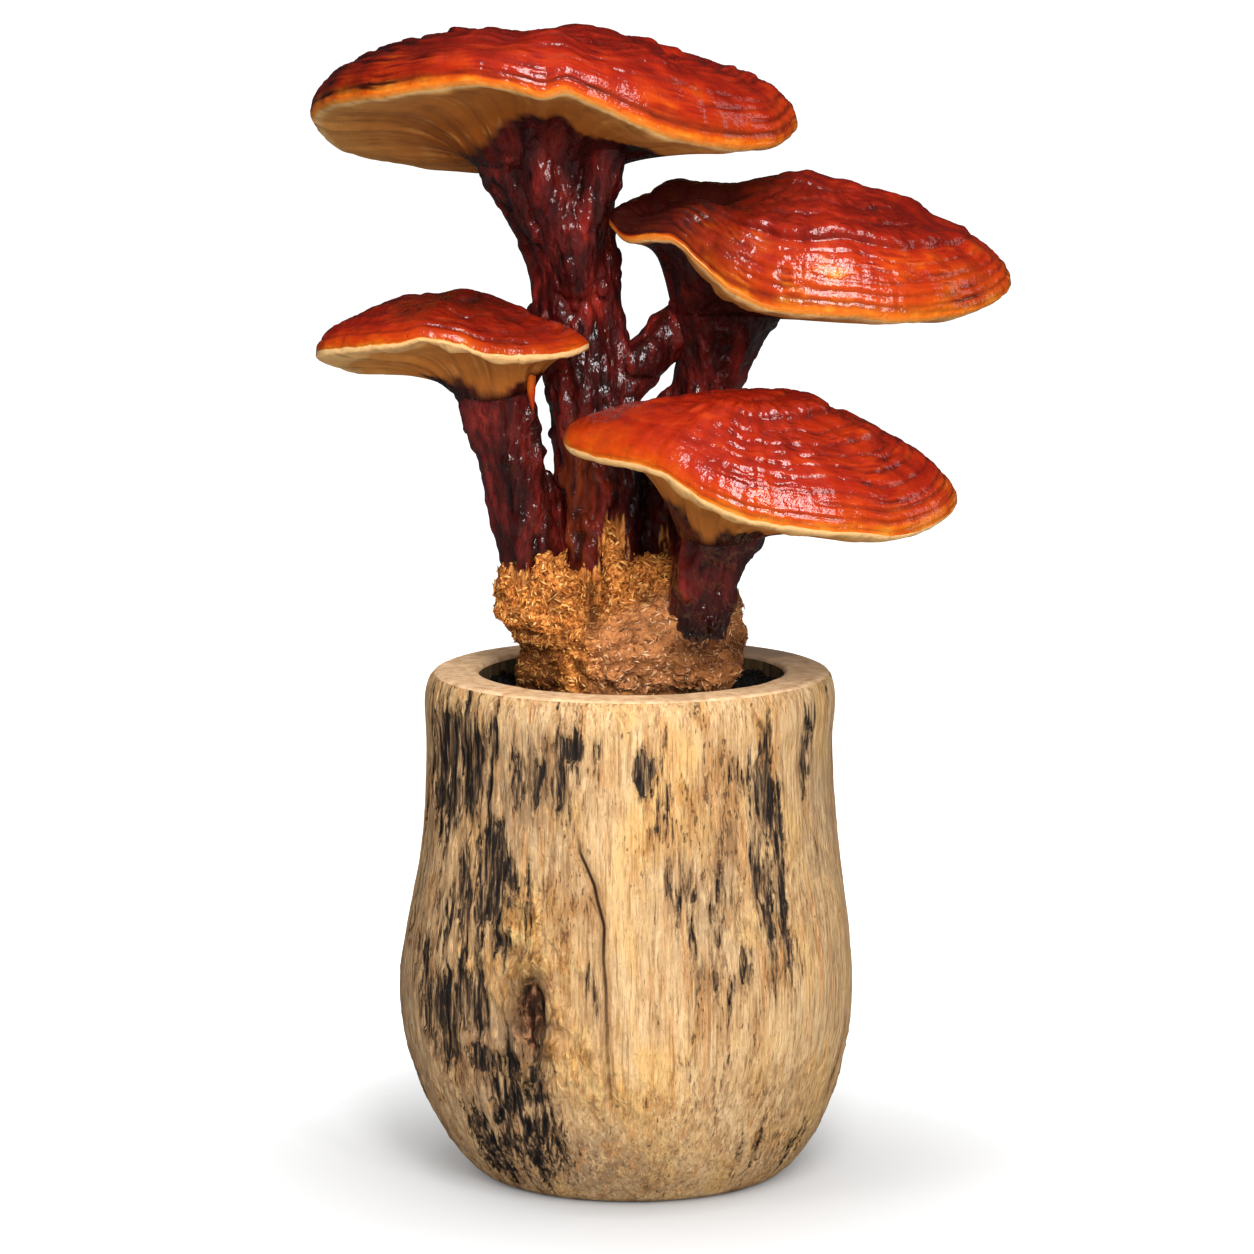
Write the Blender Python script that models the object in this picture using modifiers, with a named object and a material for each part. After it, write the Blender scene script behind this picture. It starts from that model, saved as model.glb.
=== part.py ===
"""A potted reishi mushroom: four lacquered caps on forking stems, growing from a block of chips.

The block stands in black soil inside a hollow pot turned from a log.
Metres, +Z up. The origin is the middle of the pot's flat foot, and -Y faces the viewer.
"""

import math

import bmesh
import bpy
import numpy as np

NAME = "reishi_mushroom"
GAP = 0.0003  # between neighbouring solids

# Pot: a hollow turned log
POT_HEIGHT = 0.280
POT_SIDES = 44
HOLLOW_RADIUS = 0.084
HOLLOW_FLOOR = 0.040
HOLLOW_CORNER = 0.006
RIM_ROUND = 0.0025
# Outer wall as (radius, height), from the rim down to the edge of the flat foot
POT_WALL = (
    (0.1060, 0.2800), (0.1088, 0.2786), (0.1103, 0.2752), (0.1122, 0.2400), (0.1142, 0.2070),
    (0.1173, 0.1730), (0.1212, 0.1390), (0.1234, 0.1050), (0.1218, 0.0800), (0.1162, 0.0550),
    (0.1085, 0.0340), (0.0997, 0.0180), (0.0915, 0.0080), (0.0845, 0.0015), (0.0800, 0.0000),
)
POT_LEAN = 0.002  # how far the belly sits to the left of the rim
POT_SWELL = 0.0016  # the log isn't quite round

# Soil: a plug that fills the hollow to just under the rim
SOIL_TOP = 0.269
SOIL_SIDES = 32
SOIL_RINGS = (0.050, 0.064, 0.075)
SOIL_LUMP = 0.0012

# Block and stems: level sections (x, y, z, half width, half depth), from the bottom up
BASE = (
    (-0.0030, 0.0000, 0.2250, 0.0430, 0.0380),
    (-0.0040, -0.0030, 0.2620, 0.0560, 0.0490),
    (-0.0045, -0.0040, 0.2940, 0.0615, 0.0540),
    (-0.0065, -0.0020, 0.3220, 0.0675, 0.0500),
    (-0.0050, 0.0000, 0.3420, 0.0560, 0.0400),
)
BASE_TOP = 0.352
BASE_SIDES = 26
BASE_LOBES = (0.05, 0.035)  # two waves round the block, as shares of its width
STEM_TALL = (
    (-0.0160, 0.0040, 0.3180, 0.0270, 0.0250),
    (-0.0170, 0.0040, 0.3450, 0.0260, 0.0240),
    (-0.0180, 0.0060, 0.3900, 0.0260, 0.0240),
    (-0.0205, 0.0070, 0.4300, 0.0265, 0.0240),
    (-0.0280, 0.0080, 0.4660, 0.0260, 0.0240),
    (-0.0320, 0.0080, 0.5040, 0.0255, 0.0240),
    (-0.0390, 0.0060, 0.5300, 0.0310, 0.0260),
    (-0.0450, 0.0040, 0.5560, 0.0400, 0.0290),
)
STEM_LEFT = (
    (-0.0520, -0.0080, 0.3180, 0.0180, 0.0180),
    (-0.0550, -0.0100, 0.3450, 0.0170, 0.0180),
    (-0.0610, -0.0130, 0.3720, 0.0180, 0.0180),
    (-0.0650, -0.0160, 0.3970, 0.0185, 0.0180),
    (-0.0710, -0.0190, 0.4180, 0.0210, 0.0180),
    (-0.0760, -0.0220, 0.4380, 0.0225, 0.0190),
)
STEM_RIGHT = (
    (0.0300, 0.0160, 0.3180, 0.0190, 0.0180),
    (0.0300, 0.0160, 0.3600, 0.0185, 0.0170),
    (0.0330, 0.0160, 0.4000, 0.0190, 0.0170),
    (0.0420, 0.0140, 0.4370, 0.0195, 0.0180),
    (0.0480, 0.0100, 0.4580, 0.0235, 0.0200),
    (0.0520, 0.0060, 0.4760, 0.0300, 0.0230),
)
STEM_FRONT = (
    (0.0340, -0.0400, 0.3000, 0.0170, 0.0160),
    (0.0370, -0.0420, 0.3220, 0.0185, 0.0170),
    (0.0420, -0.0460, 0.3430, 0.0210, 0.0180),
    (0.0500, -0.0500, 0.3620, 0.0240, 0.0200),
)
STEM_SIDES = 16
STEM_RING_STEP = 0.013
KNOB_DEPTH = 0.06  # how knobbly a stem is, as a share of its width

# Fork: the web of flesh that joins the tall stem to the right one
FORK_CENTRE = (0.0100, 0.0100, 0.4545)
FORK_RADII = (0.0255, 0.0150, 0.0150)
FORK_TILT = math.radians(-41)
FORK_SIDES, FORK_RINGS = 16, 10

# Rings from a cap's crown to its lip, as (share of the reach, ledge: 1 above a step, -1 below it)
CAP_TOP_RINGS = (
    (0.18, 0.0), (0.32, 1.0), (0.40, -1.0), (0.56, 1.0), (0.64, -1.0), (0.78, 1.0), (0.86, -1.0),
    (0.95, 0.3),
)
# Rings of a cap's underside, as shares of the way from the neck to the lip
CAP_UNDER_RINGS = (0.95, 0.80, 0.60, 0.40, 0.22, 0.08, 0.0)
LEDGE = 0.0010
LIP = 0.0052  # half the thickness of a cap's edge
LIP_ROUND = 16  # how tightly the edge is rounded
DOME, CONE = 2.4, 1.4  # powers of the two profiles that a cap's fullness mixes
FUNNEL = 4.0  # how late the flat underside turns down into the neck
SMOOTH_UNDER = math.radians(50)  # edges that bend less than this are shaded smooth

# Each cap: its crown, the neck that meets its stem as (x, y, z, half width, half depth), and its
# edge as (bearing in degrees from +X towards +Y, reach from the crown, height of the edge).
# Fullness, from 0 for a cone to 1 for a dome, is at the right, back, left and front. Lumps are
# (x, y, radius, height) on its top.
CAPS = {
    "cap_top": dict(
        crown=(-0.042, 0.000, 0.628),
        neck=STEM_TALL[-1],
        sides=40,
        fullness=(0.68, 0.7, 1.00, 0.6),
        lumps=((-0.028, 0.008, 0.024, 0.004), (-0.085, 0.0, 0.035, 0.003), (0.022, 0.01, 0.012, -0.003)),
        edge=(
            (0, 0.1315, 0.5800), (30, 0.1180, 0.5830), (60, 0.1080, 0.5770), (90, 0.1020, 0.5630),
            (120, 0.1140, 0.5530), (150, 0.1350, 0.5620), (166, 0.1335, 0.5740), (180, 0.1315, 0.5850),
            (194, 0.1275, 0.5920), (216, 0.1195, 0.5985), (232, 0.1110, 0.6037), (249, 0.1040, 0.6070),
            (258, 0.1020, 0.6045), (268, 0.1000, 0.6000), (275, 0.1005, 0.6025), (283, 0.1005, 0.5970),
            (297, 0.1030, 0.5855), (309, 0.1075, 0.5775), (326, 0.1155, 0.5720), (339, 0.1250, 0.5710),
        ),
    ),
    "cap_left": dict(
        crown=(-0.097, -0.028, 0.492),
        neck=STEM_LEFT[-1],
        sides=32,
        fullness=(0.05, 0.3, 0.36, 0.3),
        lumps=((-0.09, -0.03, 0.02, 0.002),),
        edge=(
            (0, 0.0700, 0.4600), (30, 0.0480, 0.4550), (60, 0.0500, 0.4480), (90, 0.0520, 0.4450),
            (120, 0.0560, 0.4440), (150, 0.0650, 0.4470), (180, 0.0730, 0.4550), (190, 0.0735, 0.4575),
            (214, 0.0660, 0.4625), (229, 0.0633, 0.4655), (241, 0.0617, 0.4668), (257, 0.0596, 0.4710),
            (267, 0.0590, 0.4695), (278, 0.0595, 0.4663), (286, 0.0594, 0.4630), (299, 0.0597, 0.4607),
            (315, 0.0648, 0.4600), (330, 0.0713, 0.4600), (345, 0.0763, 0.4628),
        ),
    ),
    "cap_right": dict(
        crown=(0.100, -0.012, 0.545),
        neck=STEM_RIGHT[-1],
        sides=40,
        fullness=(0.45, 0.5, 0.80, 0.3),
        lumps=((0.095, 0.0, 0.024, 0.007), (0.048, -0.035, 0.018, -0.008), (0.03, 0.0, 0.026, 0.005)),
        edge=(
            (1, 0.1057, 0.4925), (30, 0.1040, 0.5020), (60, 0.0880, 0.5120), (90, 0.0800, 0.5200),
            (120, 0.0830, 0.5250), (150, 0.0940, 0.5280), (172, 0.1010, 0.5280), (187, 0.1120, 0.5270),
            (192, 0.1080, 0.5215), (202, 0.0956, 0.5220), (206, 0.0900, 0.5220), (213, 0.0840, 0.5155),
            (220, 0.0810, 0.5080), (228, 0.0783, 0.5000), (236, 0.0750, 0.4935), (249, 0.0730, 0.4875),
            (268, 0.0720, 0.4850), (286, 0.0747, 0.4835), (303, 0.0810, 0.4810), (321, 0.0866, 0.4817),
            (344, 0.0966, 0.4855),
        ),
    ),
    "cap_front": dict(
        crown=(0.062, -0.075, 0.441),
        neck=STEM_FRONT[-1],
        sides=40,
        fullness=(0.60, 0.4, 0.45, 0.35),
        lumps=((0.085, -0.07, 0.022, 0.003), (0.012, -0.085, 0.016, 0.002)),
        edge=(
            (0, 0.1110, 0.3820), (30, 0.0980, 0.3950), (60, 0.0750, 0.4080), (90, 0.0620, 0.4140),
            (120, 0.0660, 0.4180), (150, 0.0820, 0.4180), (177, 0.0987, 0.4147), (183, 0.0960, 0.4127),
            (196, 0.0840, 0.4090), (208, 0.0748, 0.4078), (218, 0.0690, 0.4060), (228, 0.0660, 0.4030),
            (240, 0.0632, 0.3950), (249, 0.0630, 0.3900), (263, 0.0635, 0.3835), (276, 0.0654, 0.3800),
            (288, 0.0684, 0.3780), (299, 0.0746, 0.3760), (312, 0.0825, 0.3743), (326, 0.0920, 0.3713),
            (336, 0.0973, 0.3723), (348, 0.1040, 0.3757),
        ),
    ),
}

# Finishes, as (base colour, roughness, metallic)
FINISHES = {
    "log": ((0.46, 0.32, 0.17, 1.0), 0.75, 0.0),
    "soil": ((0.012, 0.011, 0.010, 1.0), 0.85, 0.0),
    "chips": ((0.42, 0.22, 0.09, 1.0), 0.85, 0.0),
    "stem_lacquer": ((0.085, 0.008, 0.010, 1.0), 0.25, 0.0),
    "cap_lacquer": ((0.45, 0.045, 0.010, 1.0), 0.22, 0.0),
}


def clear_scene():
    for item in list(bpy.data.objects):
        bpy.data.objects.remove(item)


def new_collection(name):
    collection = bpy.data.collections.new(name)
    bpy.context.scene.collection.children.link(collection)
    return collection


def finish_of(name, node):
    colour, roughness, metallic = FINISHES[name]
    material = bpy.data.materials.new(node + "_" + name)
    material.use_nodes = True
    shader = material.node_tree.nodes["Principled BSDF"]
    shader.inputs["Base Color"].default_value = colour
    shader.inputs["Roughness"].default_value = roughness
    shader.inputs["Metallic"].default_value = metallic
    return material


def smooth_row(rows, place, period=None):
    """The row at this place, on a smooth curve through rows whose first column is their place.

    With a period the rows go round a circle and start again.
    """
    rows = np.asarray(rows, float)
    if period:
        ahead, behind = rows[:2].copy(), rows[-2:].copy()
        ahead[:, 0] += period
        behind[:, 0] -= period
        rows = np.vstack((behind, rows, ahead))
        place = rows[2, 0] + (place - rows[2, 0]) % period
    at = rows[:, 0]
    slopes = np.gradient(rows, at, axis=0)
    i = int(np.clip(np.searchsorted(at, place, side="right") - 1, 0, len(rows) - 2))
    span = at[i + 1] - at[i]
    t = (place - at[i]) / span
    return (
        (1 + 2 * t) * (1 - t) ** 2 * rows[i]
        + t * (1 - t) ** 2 * span * slopes[i]
        + t**2 * (3 - 2 * t) * rows[i + 1]
        + t**2 * (t - 1) * span * slopes[i + 1]
    )


def section_at(sections, z):
    """The middle, half width and half depth of a stem or block at this height."""
    rows = [(height, x, y, wide, deep) for x, y, height, wide, deep in sections]
    return smooth_row(rows, min(max(z, rows[0][0]), rows[-1][0]))[1:]


def add_object(name, mesh, collection, finish=None):
    item = bpy.data.objects.new(name, mesh)
    collection.objects.link(item)
    if finish:
        mesh.materials.append(finish_of(finish, name))
    mesh.shade_smooth()
    mesh.set_sharp_from_angle(angle=SMOOTH_UNDER)
    return item


def ringed_body(name, sides, rings, place):
    """A sphere whose rings, numbered from the top pole down, are moved to place(ring, bearing).

    Ring 0 is the top pole and the last number is the bottom pole.
    """
    ball = bmesh.new()
    bmesh.ops.create_uvsphere(ball, u_segments=sides, v_segments=rings + 1, radius=1.0)
    for vertex in ball.verts:
        from_pole = math.acos(max(-1.0, min(1.0, vertex.co.z)))
        ring = round(from_pole / math.pi * (rings + 1))
        vertex.co = place(ring, math.atan2(vertex.co.y, vertex.co.x))
    # A shape and its larger cutter keep the same diagonals, so that the gap stays open
    bmesh.ops.triangulate(ball, faces=ball.faces, quad_method="FIXED")
    mesh = bpy.data.meshes.new(name)
    ball.to_mesh(mesh)
    ball.free()
    return mesh


def turned_mesh(name, profile, sides):
    """The mesh that a Screw modifier turns from a profile of (radius, height)."""
    outline = bpy.data.meshes.new(name + "_profile")
    points = [(radius, 0.0, height) for radius, height in profile]
    outline.from_pydata(points, [(i, i + 1) for i in range(len(points) - 1)], [])
    guide = bpy.data.objects.new(name + "_profile", outline)
    bpy.context.scene.collection.objects.link(guide)
    screw = guide.modifiers.new("turn", "SCREW")
    screw.steps = screw.render_steps = sides
    screw.use_merge_vertices = True
    screw.merge_threshold = 1e-5
    graph = bpy.context.evaluated_depsgraph_get()
    mesh = bpy.data.meshes.new_from_object(guide.evaluated_get(graph))
    mesh.name = name
    bpy.data.objects.remove(guide)
    return mesh


def knobs(bearing, z, phase):
    """Uneven swelling round a stem, from -1 to 1."""
    return 0.5 * math.sin(3 * bearing + 90 * z + phase) + 0.5 * math.sin(2 * bearing - 150 * z + 2 * phase)


def stem_mesh(name, sections, phase, grow=0.0):
    bottom, top = sections[0][2], sections[-1][2]
    rings = round((top - bottom) / STEM_RING_STEP) + 1

    def place(ring, bearing):
        at_pole = ring in (0, rings + 1)
        share = (min(max(ring, 1), rings) - 1) / (rings - 1)
        z = top + (bottom - top) * share
        x, y, wide, deep = section_at(sections, z)
        fade = math.sin(math.pi * share) ** 0.5 if 0 < share < 1 else 0.0
        swell = 0.0 if at_pole else 1.0 + KNOB_DEPTH * fade * knobs(bearing, z, phase)
        z += grow * (1 if share == 0 else -1 if share == 1 else 0)
        return (
            x + (wide + grow) * swell * math.cos(bearing),
            y + (deep + grow) * swell * math.sin(bearing),
            z,
        )

    return ringed_body(name, STEM_SIDES, rings, place)


def base_mesh(name, grow=0.0):
    heights = [z for _, _, z, _, _ in BASE]
    levels = sorted(set(heights) | {(a + b) / 2 for a, b in zip(heights, heights[1:])}, reverse=True)

    def place(ring, bearing):
        if ring == 0:
            return (BASE[-1][0], BASE[-1][1], BASE_TOP + grow)
        z = levels[min(ring, len(levels)) - 1]
        x, y, wide, deep = section_at(BASE, z)
        swell = 1.0 + BASE_LOBES[0] * math.sin(5 * bearing + 40 * z)
        swell += BASE_LOBES[1] * math.sin(3 * bearing - 70 * z)
        if ring > len(levels):
            swell = 0.0
        z += grow * (1 if ring == 1 else -1 if ring >= len(levels) else 0)
        return (
            x + (wide * swell + grow * bool(swell)) * math.cos(bearing),
            y + (deep * swell + grow * bool(swell)) * math.sin(bearing),
            z,
        )

    return ringed_body(name, BASE_SIDES, len(levels), place)


def cap_mesh(name, crown, neck, sides, fullness, lumps, edge):
    top_rings = len(CAP_TOP_RINGS)
    rings = top_rings + 1 + len(CAP_UNDER_RINGS)
    crown_x, crown_y, crown_z = crown
    neck_x, neck_y, neck_z, neck_wide, neck_deep = neck
    fullness_rows = [(90 * quarter, full) for quarter, full in enumerate(fullness)]

    def edge_point(bearing):
        _, reach, height = smooth_row(edge, math.degrees(bearing), 360)
        return (crown_x + reach * math.cos(bearing), crown_y + reach * math.sin(bearing), height)

    def top_point(t, step, bearing):
        x, y, z = edge_point(bearing)
        _, full = smooth_row(fullness_rows, math.degrees(bearing), 360)
        rise = full * math.sqrt(1 - t**DOME) + (1 - full) * (1 - t**CONE)
        z += LIP * math.sqrt(1 - t**LIP_ROUND)
        z += (crown_z - z) * rise + LEDGE * step
        x, y = crown_x + (x - crown_x) * t, crown_y + (y - crown_y) * t
        for lump_x, lump_y, wide, tall in lumps:
            z += tall * math.exp(-((x - lump_x) ** 2 + (y - lump_y) ** 2) / wide**2)
        return (x, y, z)

    def under_point(s, bearing):
        x, y, z = edge_point(bearing)
        from_x = neck_x + neck_wide * math.cos(bearing)
        from_y = neck_y + neck_deep * math.sin(bearing)
        z -= LIP * math.sqrt(1 - s**LIP_ROUND)
        z += (neck_z + GAP - z) * (1 - s) ** FUNNEL
        return (from_x + (x - from_x) * s, from_y + (y - from_y) * s, z)

    def place(ring, bearing):
        if ring == 0:
            return top_point(0.0, 0.0, 0.0)
        if ring <= top_rings:
            return top_point(*CAP_TOP_RINGS[ring - 1], bearing)
        if ring == top_rings + 1:
            return edge_point(bearing)
        if ring <= rings:
            return under_point(CAP_UNDER_RINGS[ring - top_rings - 2], bearing)
        return (neck_x, neck_y, neck_z + GAP)

    return ringed_body(name, sides, rings, place)


def pot_mesh():
    hollow = (
        (0.0, HOLLOW_FLOOR),
        (HOLLOW_RADIUS - HOLLOW_CORNER, HOLLOW_FLOOR),
        (HOLLOW_RADIUS, HOLLOW_FLOOR + HOLLOW_CORNER),
        (HOLLOW_RADIUS, 0.5 * (HOLLOW_FLOOR + POT_HEIGHT)),
        (HOLLOW_RADIUS, POT_HEIGHT - RIM_ROUND),
        (HOLLOW_RADIUS + 0.3 * RIM_ROUND, POT_HEIGHT - 0.3 * RIM_ROUND),
        (HOLLOW_RADIUS + RIM_ROUND, POT_HEIGHT),
    )
    mesh = turned_mesh("pot", hollow + POT_WALL + ((0.0, 0.0),), POT_SIDES)
    for vertex in mesh.vertices:
        x, y, z = vertex.co
        if math.hypot(x, y) < HOLLOW_RADIUS + RIM_ROUND + 0.0001 and z > 0.0001:
            continue
        bearing = math.atan2(y, x)
        belly = math.sin(math.pi * min(z / POT_HEIGHT, 1.0)) if z > 0.0001 else 0.0
        uneven = math.sin(2 * bearing + 20 * z) + 0.6 * math.sin(3 * bearing - 30 * z + 1.0)
        swell = 1.0 + belly * POT_SWELL * uneven / HOLLOW_RADIUS
        vertex.co = (x * swell - POT_LEAN * belly, y * swell, z)
    return mesh


def soil_mesh():
    radius = HOLLOW_RADIUS - GAP
    surface = [(ring, SOIL_TOP) for ring in (0.0, *SOIL_RINGS, radius)]
    foot = [
        (radius, HOLLOW_FLOOR + HOLLOW_CORNER + GAP),
        (radius - HOLLOW_CORNER, HOLLOW_FLOOR + GAP),
        (0.0, HOLLOW_FLOOR + GAP),
    ]
    mesh = turned_mesh("soil", surface + foot, SOIL_SIDES)
    for vertex in mesh.vertices:
        x, y, z = vertex.co
        if z > SOIL_TOP - 0.0001:
            vertex.co.z += SOIL_LUMP * (math.sin(170 * x + 60 * y) + math.sin(150 * y - 90 * x + 2.0))
    return mesh


def fork_mesh():
    ball = bmesh.new()
    bmesh.ops.create_uvsphere(ball, u_segments=FORK_SIDES, v_segments=FORK_RINGS, radius=1.0)
    bmesh.ops.scale(ball, vec=FORK_RADII, verts=ball.verts)
    mesh = bpy.data.meshes.new("stem_fork")
    ball.to_mesh(mesh)
    ball.free()
    return mesh


def cut(item, cutter):
    boolean = item.modifiers.new("fit_" + cutter.name, "BOOLEAN")
    boolean.operation = "DIFFERENCE"
    boolean.solver = "EXACT"
    boolean.object = cutter


def space_for(name, mesh, cutters):
    """A cutter of a piece's shape, a gap larger all round."""
    item = add_object(name + "_space", mesh, cutters)
    item.hide_render = True
    item.display_type = "WIRE"
    return item


def build():
    clear_scene()
    parts = new_collection(NAME)
    cutters = new_collection("cutters")
    # Each stem: its sections, where its knobs start, and the stems that it is cut to fit round
    stems = {
        "stem_tall": (STEM_TALL, 0.0, ()),
        "stem_right": (STEM_RIGHT, 1.4, ("stem_tall",)),
        "stem_front": (STEM_FRONT, 2.6, ("stem_right",)),
        "stem_left": (STEM_LEFT, 4.1, ("stem_tall",)),
    }

    add_object("pot", pot_mesh(), parts, "log")
    soil = add_object("soil", soil_mesh(), parts, "soil")
    add_object("base", base_mesh("base"), parts, "chips")
    base_space = space_for("base", base_mesh("base_space", GAP), cutters)
    cut(soil, base_space)

    spaces = {}
    for name, (sections, phase, neighbours) in stems.items():
        stem = add_object(name, stem_mesh(name, sections, phase), parts, "stem_lacquer")
        cut(stem, base_space)
        for neighbour in neighbours:
            cut(stem, spaces[neighbour])
        grown = stem_mesh(name + "_space", sections, phase, GAP)
        spaces[name] = space_for(name, grown, cutters)

    fork = add_object("stem_fork", fork_mesh(), parts, "stem_lacquer")
    fork.location = FORK_CENTRE
    fork.rotation_euler = (0.0, FORK_TILT, 0.0)
    cut(fork, spaces["stem_tall"])
    cut(fork, spaces["stem_right"])

    for name, shape in CAPS.items():
        add_object(name, cap_mesh(name, **shape), parts, "cap_lacquer")


build()
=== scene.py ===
"""The looks of the potted reishi: the fine shape and finish of each piece, floor, lights and camera.

Metres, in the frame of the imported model. The tables of places and sizes are in millimetres. Bearings
are in degrees, from +X towards +Y, and -Y faces the viewer.
"""

import itertools
import math
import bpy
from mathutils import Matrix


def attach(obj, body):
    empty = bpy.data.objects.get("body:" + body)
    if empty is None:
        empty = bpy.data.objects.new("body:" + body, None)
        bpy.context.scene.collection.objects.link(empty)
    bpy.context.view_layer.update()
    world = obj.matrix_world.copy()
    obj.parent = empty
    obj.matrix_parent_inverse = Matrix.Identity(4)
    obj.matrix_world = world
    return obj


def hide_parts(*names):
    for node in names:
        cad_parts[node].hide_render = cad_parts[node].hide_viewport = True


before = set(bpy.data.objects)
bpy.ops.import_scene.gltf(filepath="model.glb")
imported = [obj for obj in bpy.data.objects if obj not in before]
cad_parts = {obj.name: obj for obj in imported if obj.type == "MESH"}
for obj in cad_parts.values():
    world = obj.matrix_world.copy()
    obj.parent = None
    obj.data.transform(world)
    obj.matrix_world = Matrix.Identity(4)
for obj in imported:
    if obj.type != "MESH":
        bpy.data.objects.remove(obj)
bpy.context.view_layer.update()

from types import SimpleNamespace

import bmesh
import bpy
import numpy as np


def metres(rows):
    """Rows of millimetres as rows of metres."""
    return tuple(tuple(value / 1000 for value in row) for row in rows)


# Pot: the same turned log as in the model, its wall as (radius, height) from the rim down
POT_HEIGHT = 0.280
HOLLOW_RADIUS = 0.084
HOLLOW_FLOOR = 0.040
POT_WALL = metres((
    (106, 280), (108.8, 278.6), (110.3, 275.2), (112.2, 240), (114.2, 207), (117.3, 173), (121.2, 139),
    (123.4, 105), (121.8, 80), (116.2, 55), (108.5, 34), (99.7, 18), (91.5, 8), (84.5, 1.5), (80, 0),
))
POT_LEAN, POT_SWELL = 0.002, 0.0016
RIM_ROUND, RIM_FLAT_TO = 0.0025, 0.1055
POT_SIDES, WALL_ROWS, RIM_ROWS = 500, 116, 14
SOIL_TOP = 0.269

# Caps: how round their edge is, how their tops rise and how their undersides run down to the stem
LIP_ROUND = 16
DOME, CONE = 2.4, 1.4
FUNNEL = 4.0
CAP_TOP_STEPS, CAP_UNDER_STEPS = 136, 34

# Stems and block: level sections (x, y, z, half width, half depth), from the bottom up
BASE = metres((
    (-3, 0, 225, 43, 38), (-4, -3, 262, 56, 49), (-4.5, -4, 294, 61.5, 54), (-6.5, -2, 322, 67.5, 50),
    (-5, 0, 342, 56, 40),
))
STEM_TALL = metres((
    (-16, 4, 318, 27, 25), (-17, 4, 345, 26, 24), (-18, 6, 390, 26, 24), (-20.5, 7, 430, 26.5, 24),
    (-28, 8, 466, 26, 24), (-32, 8, 504, 25.5, 24), (-39, 6, 530, 31, 26), (-45, 4, 556, 40, 29),
))
STEM_LEFT = metres((
    (-52, -8, 318, 18, 18), (-55, -10, 345, 17, 18), (-61, -13, 372, 18, 18), (-65, -16, 397, 18.5, 18),
    (-71, -19, 418, 21, 18), (-76, -22, 438, 22.5, 19),
))
STEM_RIGHT = metres((
    (30, 16, 318, 19, 18), (30, 16, 360, 18.5, 17), (33, 16, 400, 19, 17), (42, 14, 437, 19.5, 18),
    (48, 10, 458, 23.5, 20), (52, 6, 476, 30, 23),
))
STEM_FRONT = metres((
    (34, -40, 300, 17, 16), (37, -42, 322, 18.5, 17), (42, -46, 343, 21, 18), (50, -50, 362, 24, 20),
))

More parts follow.
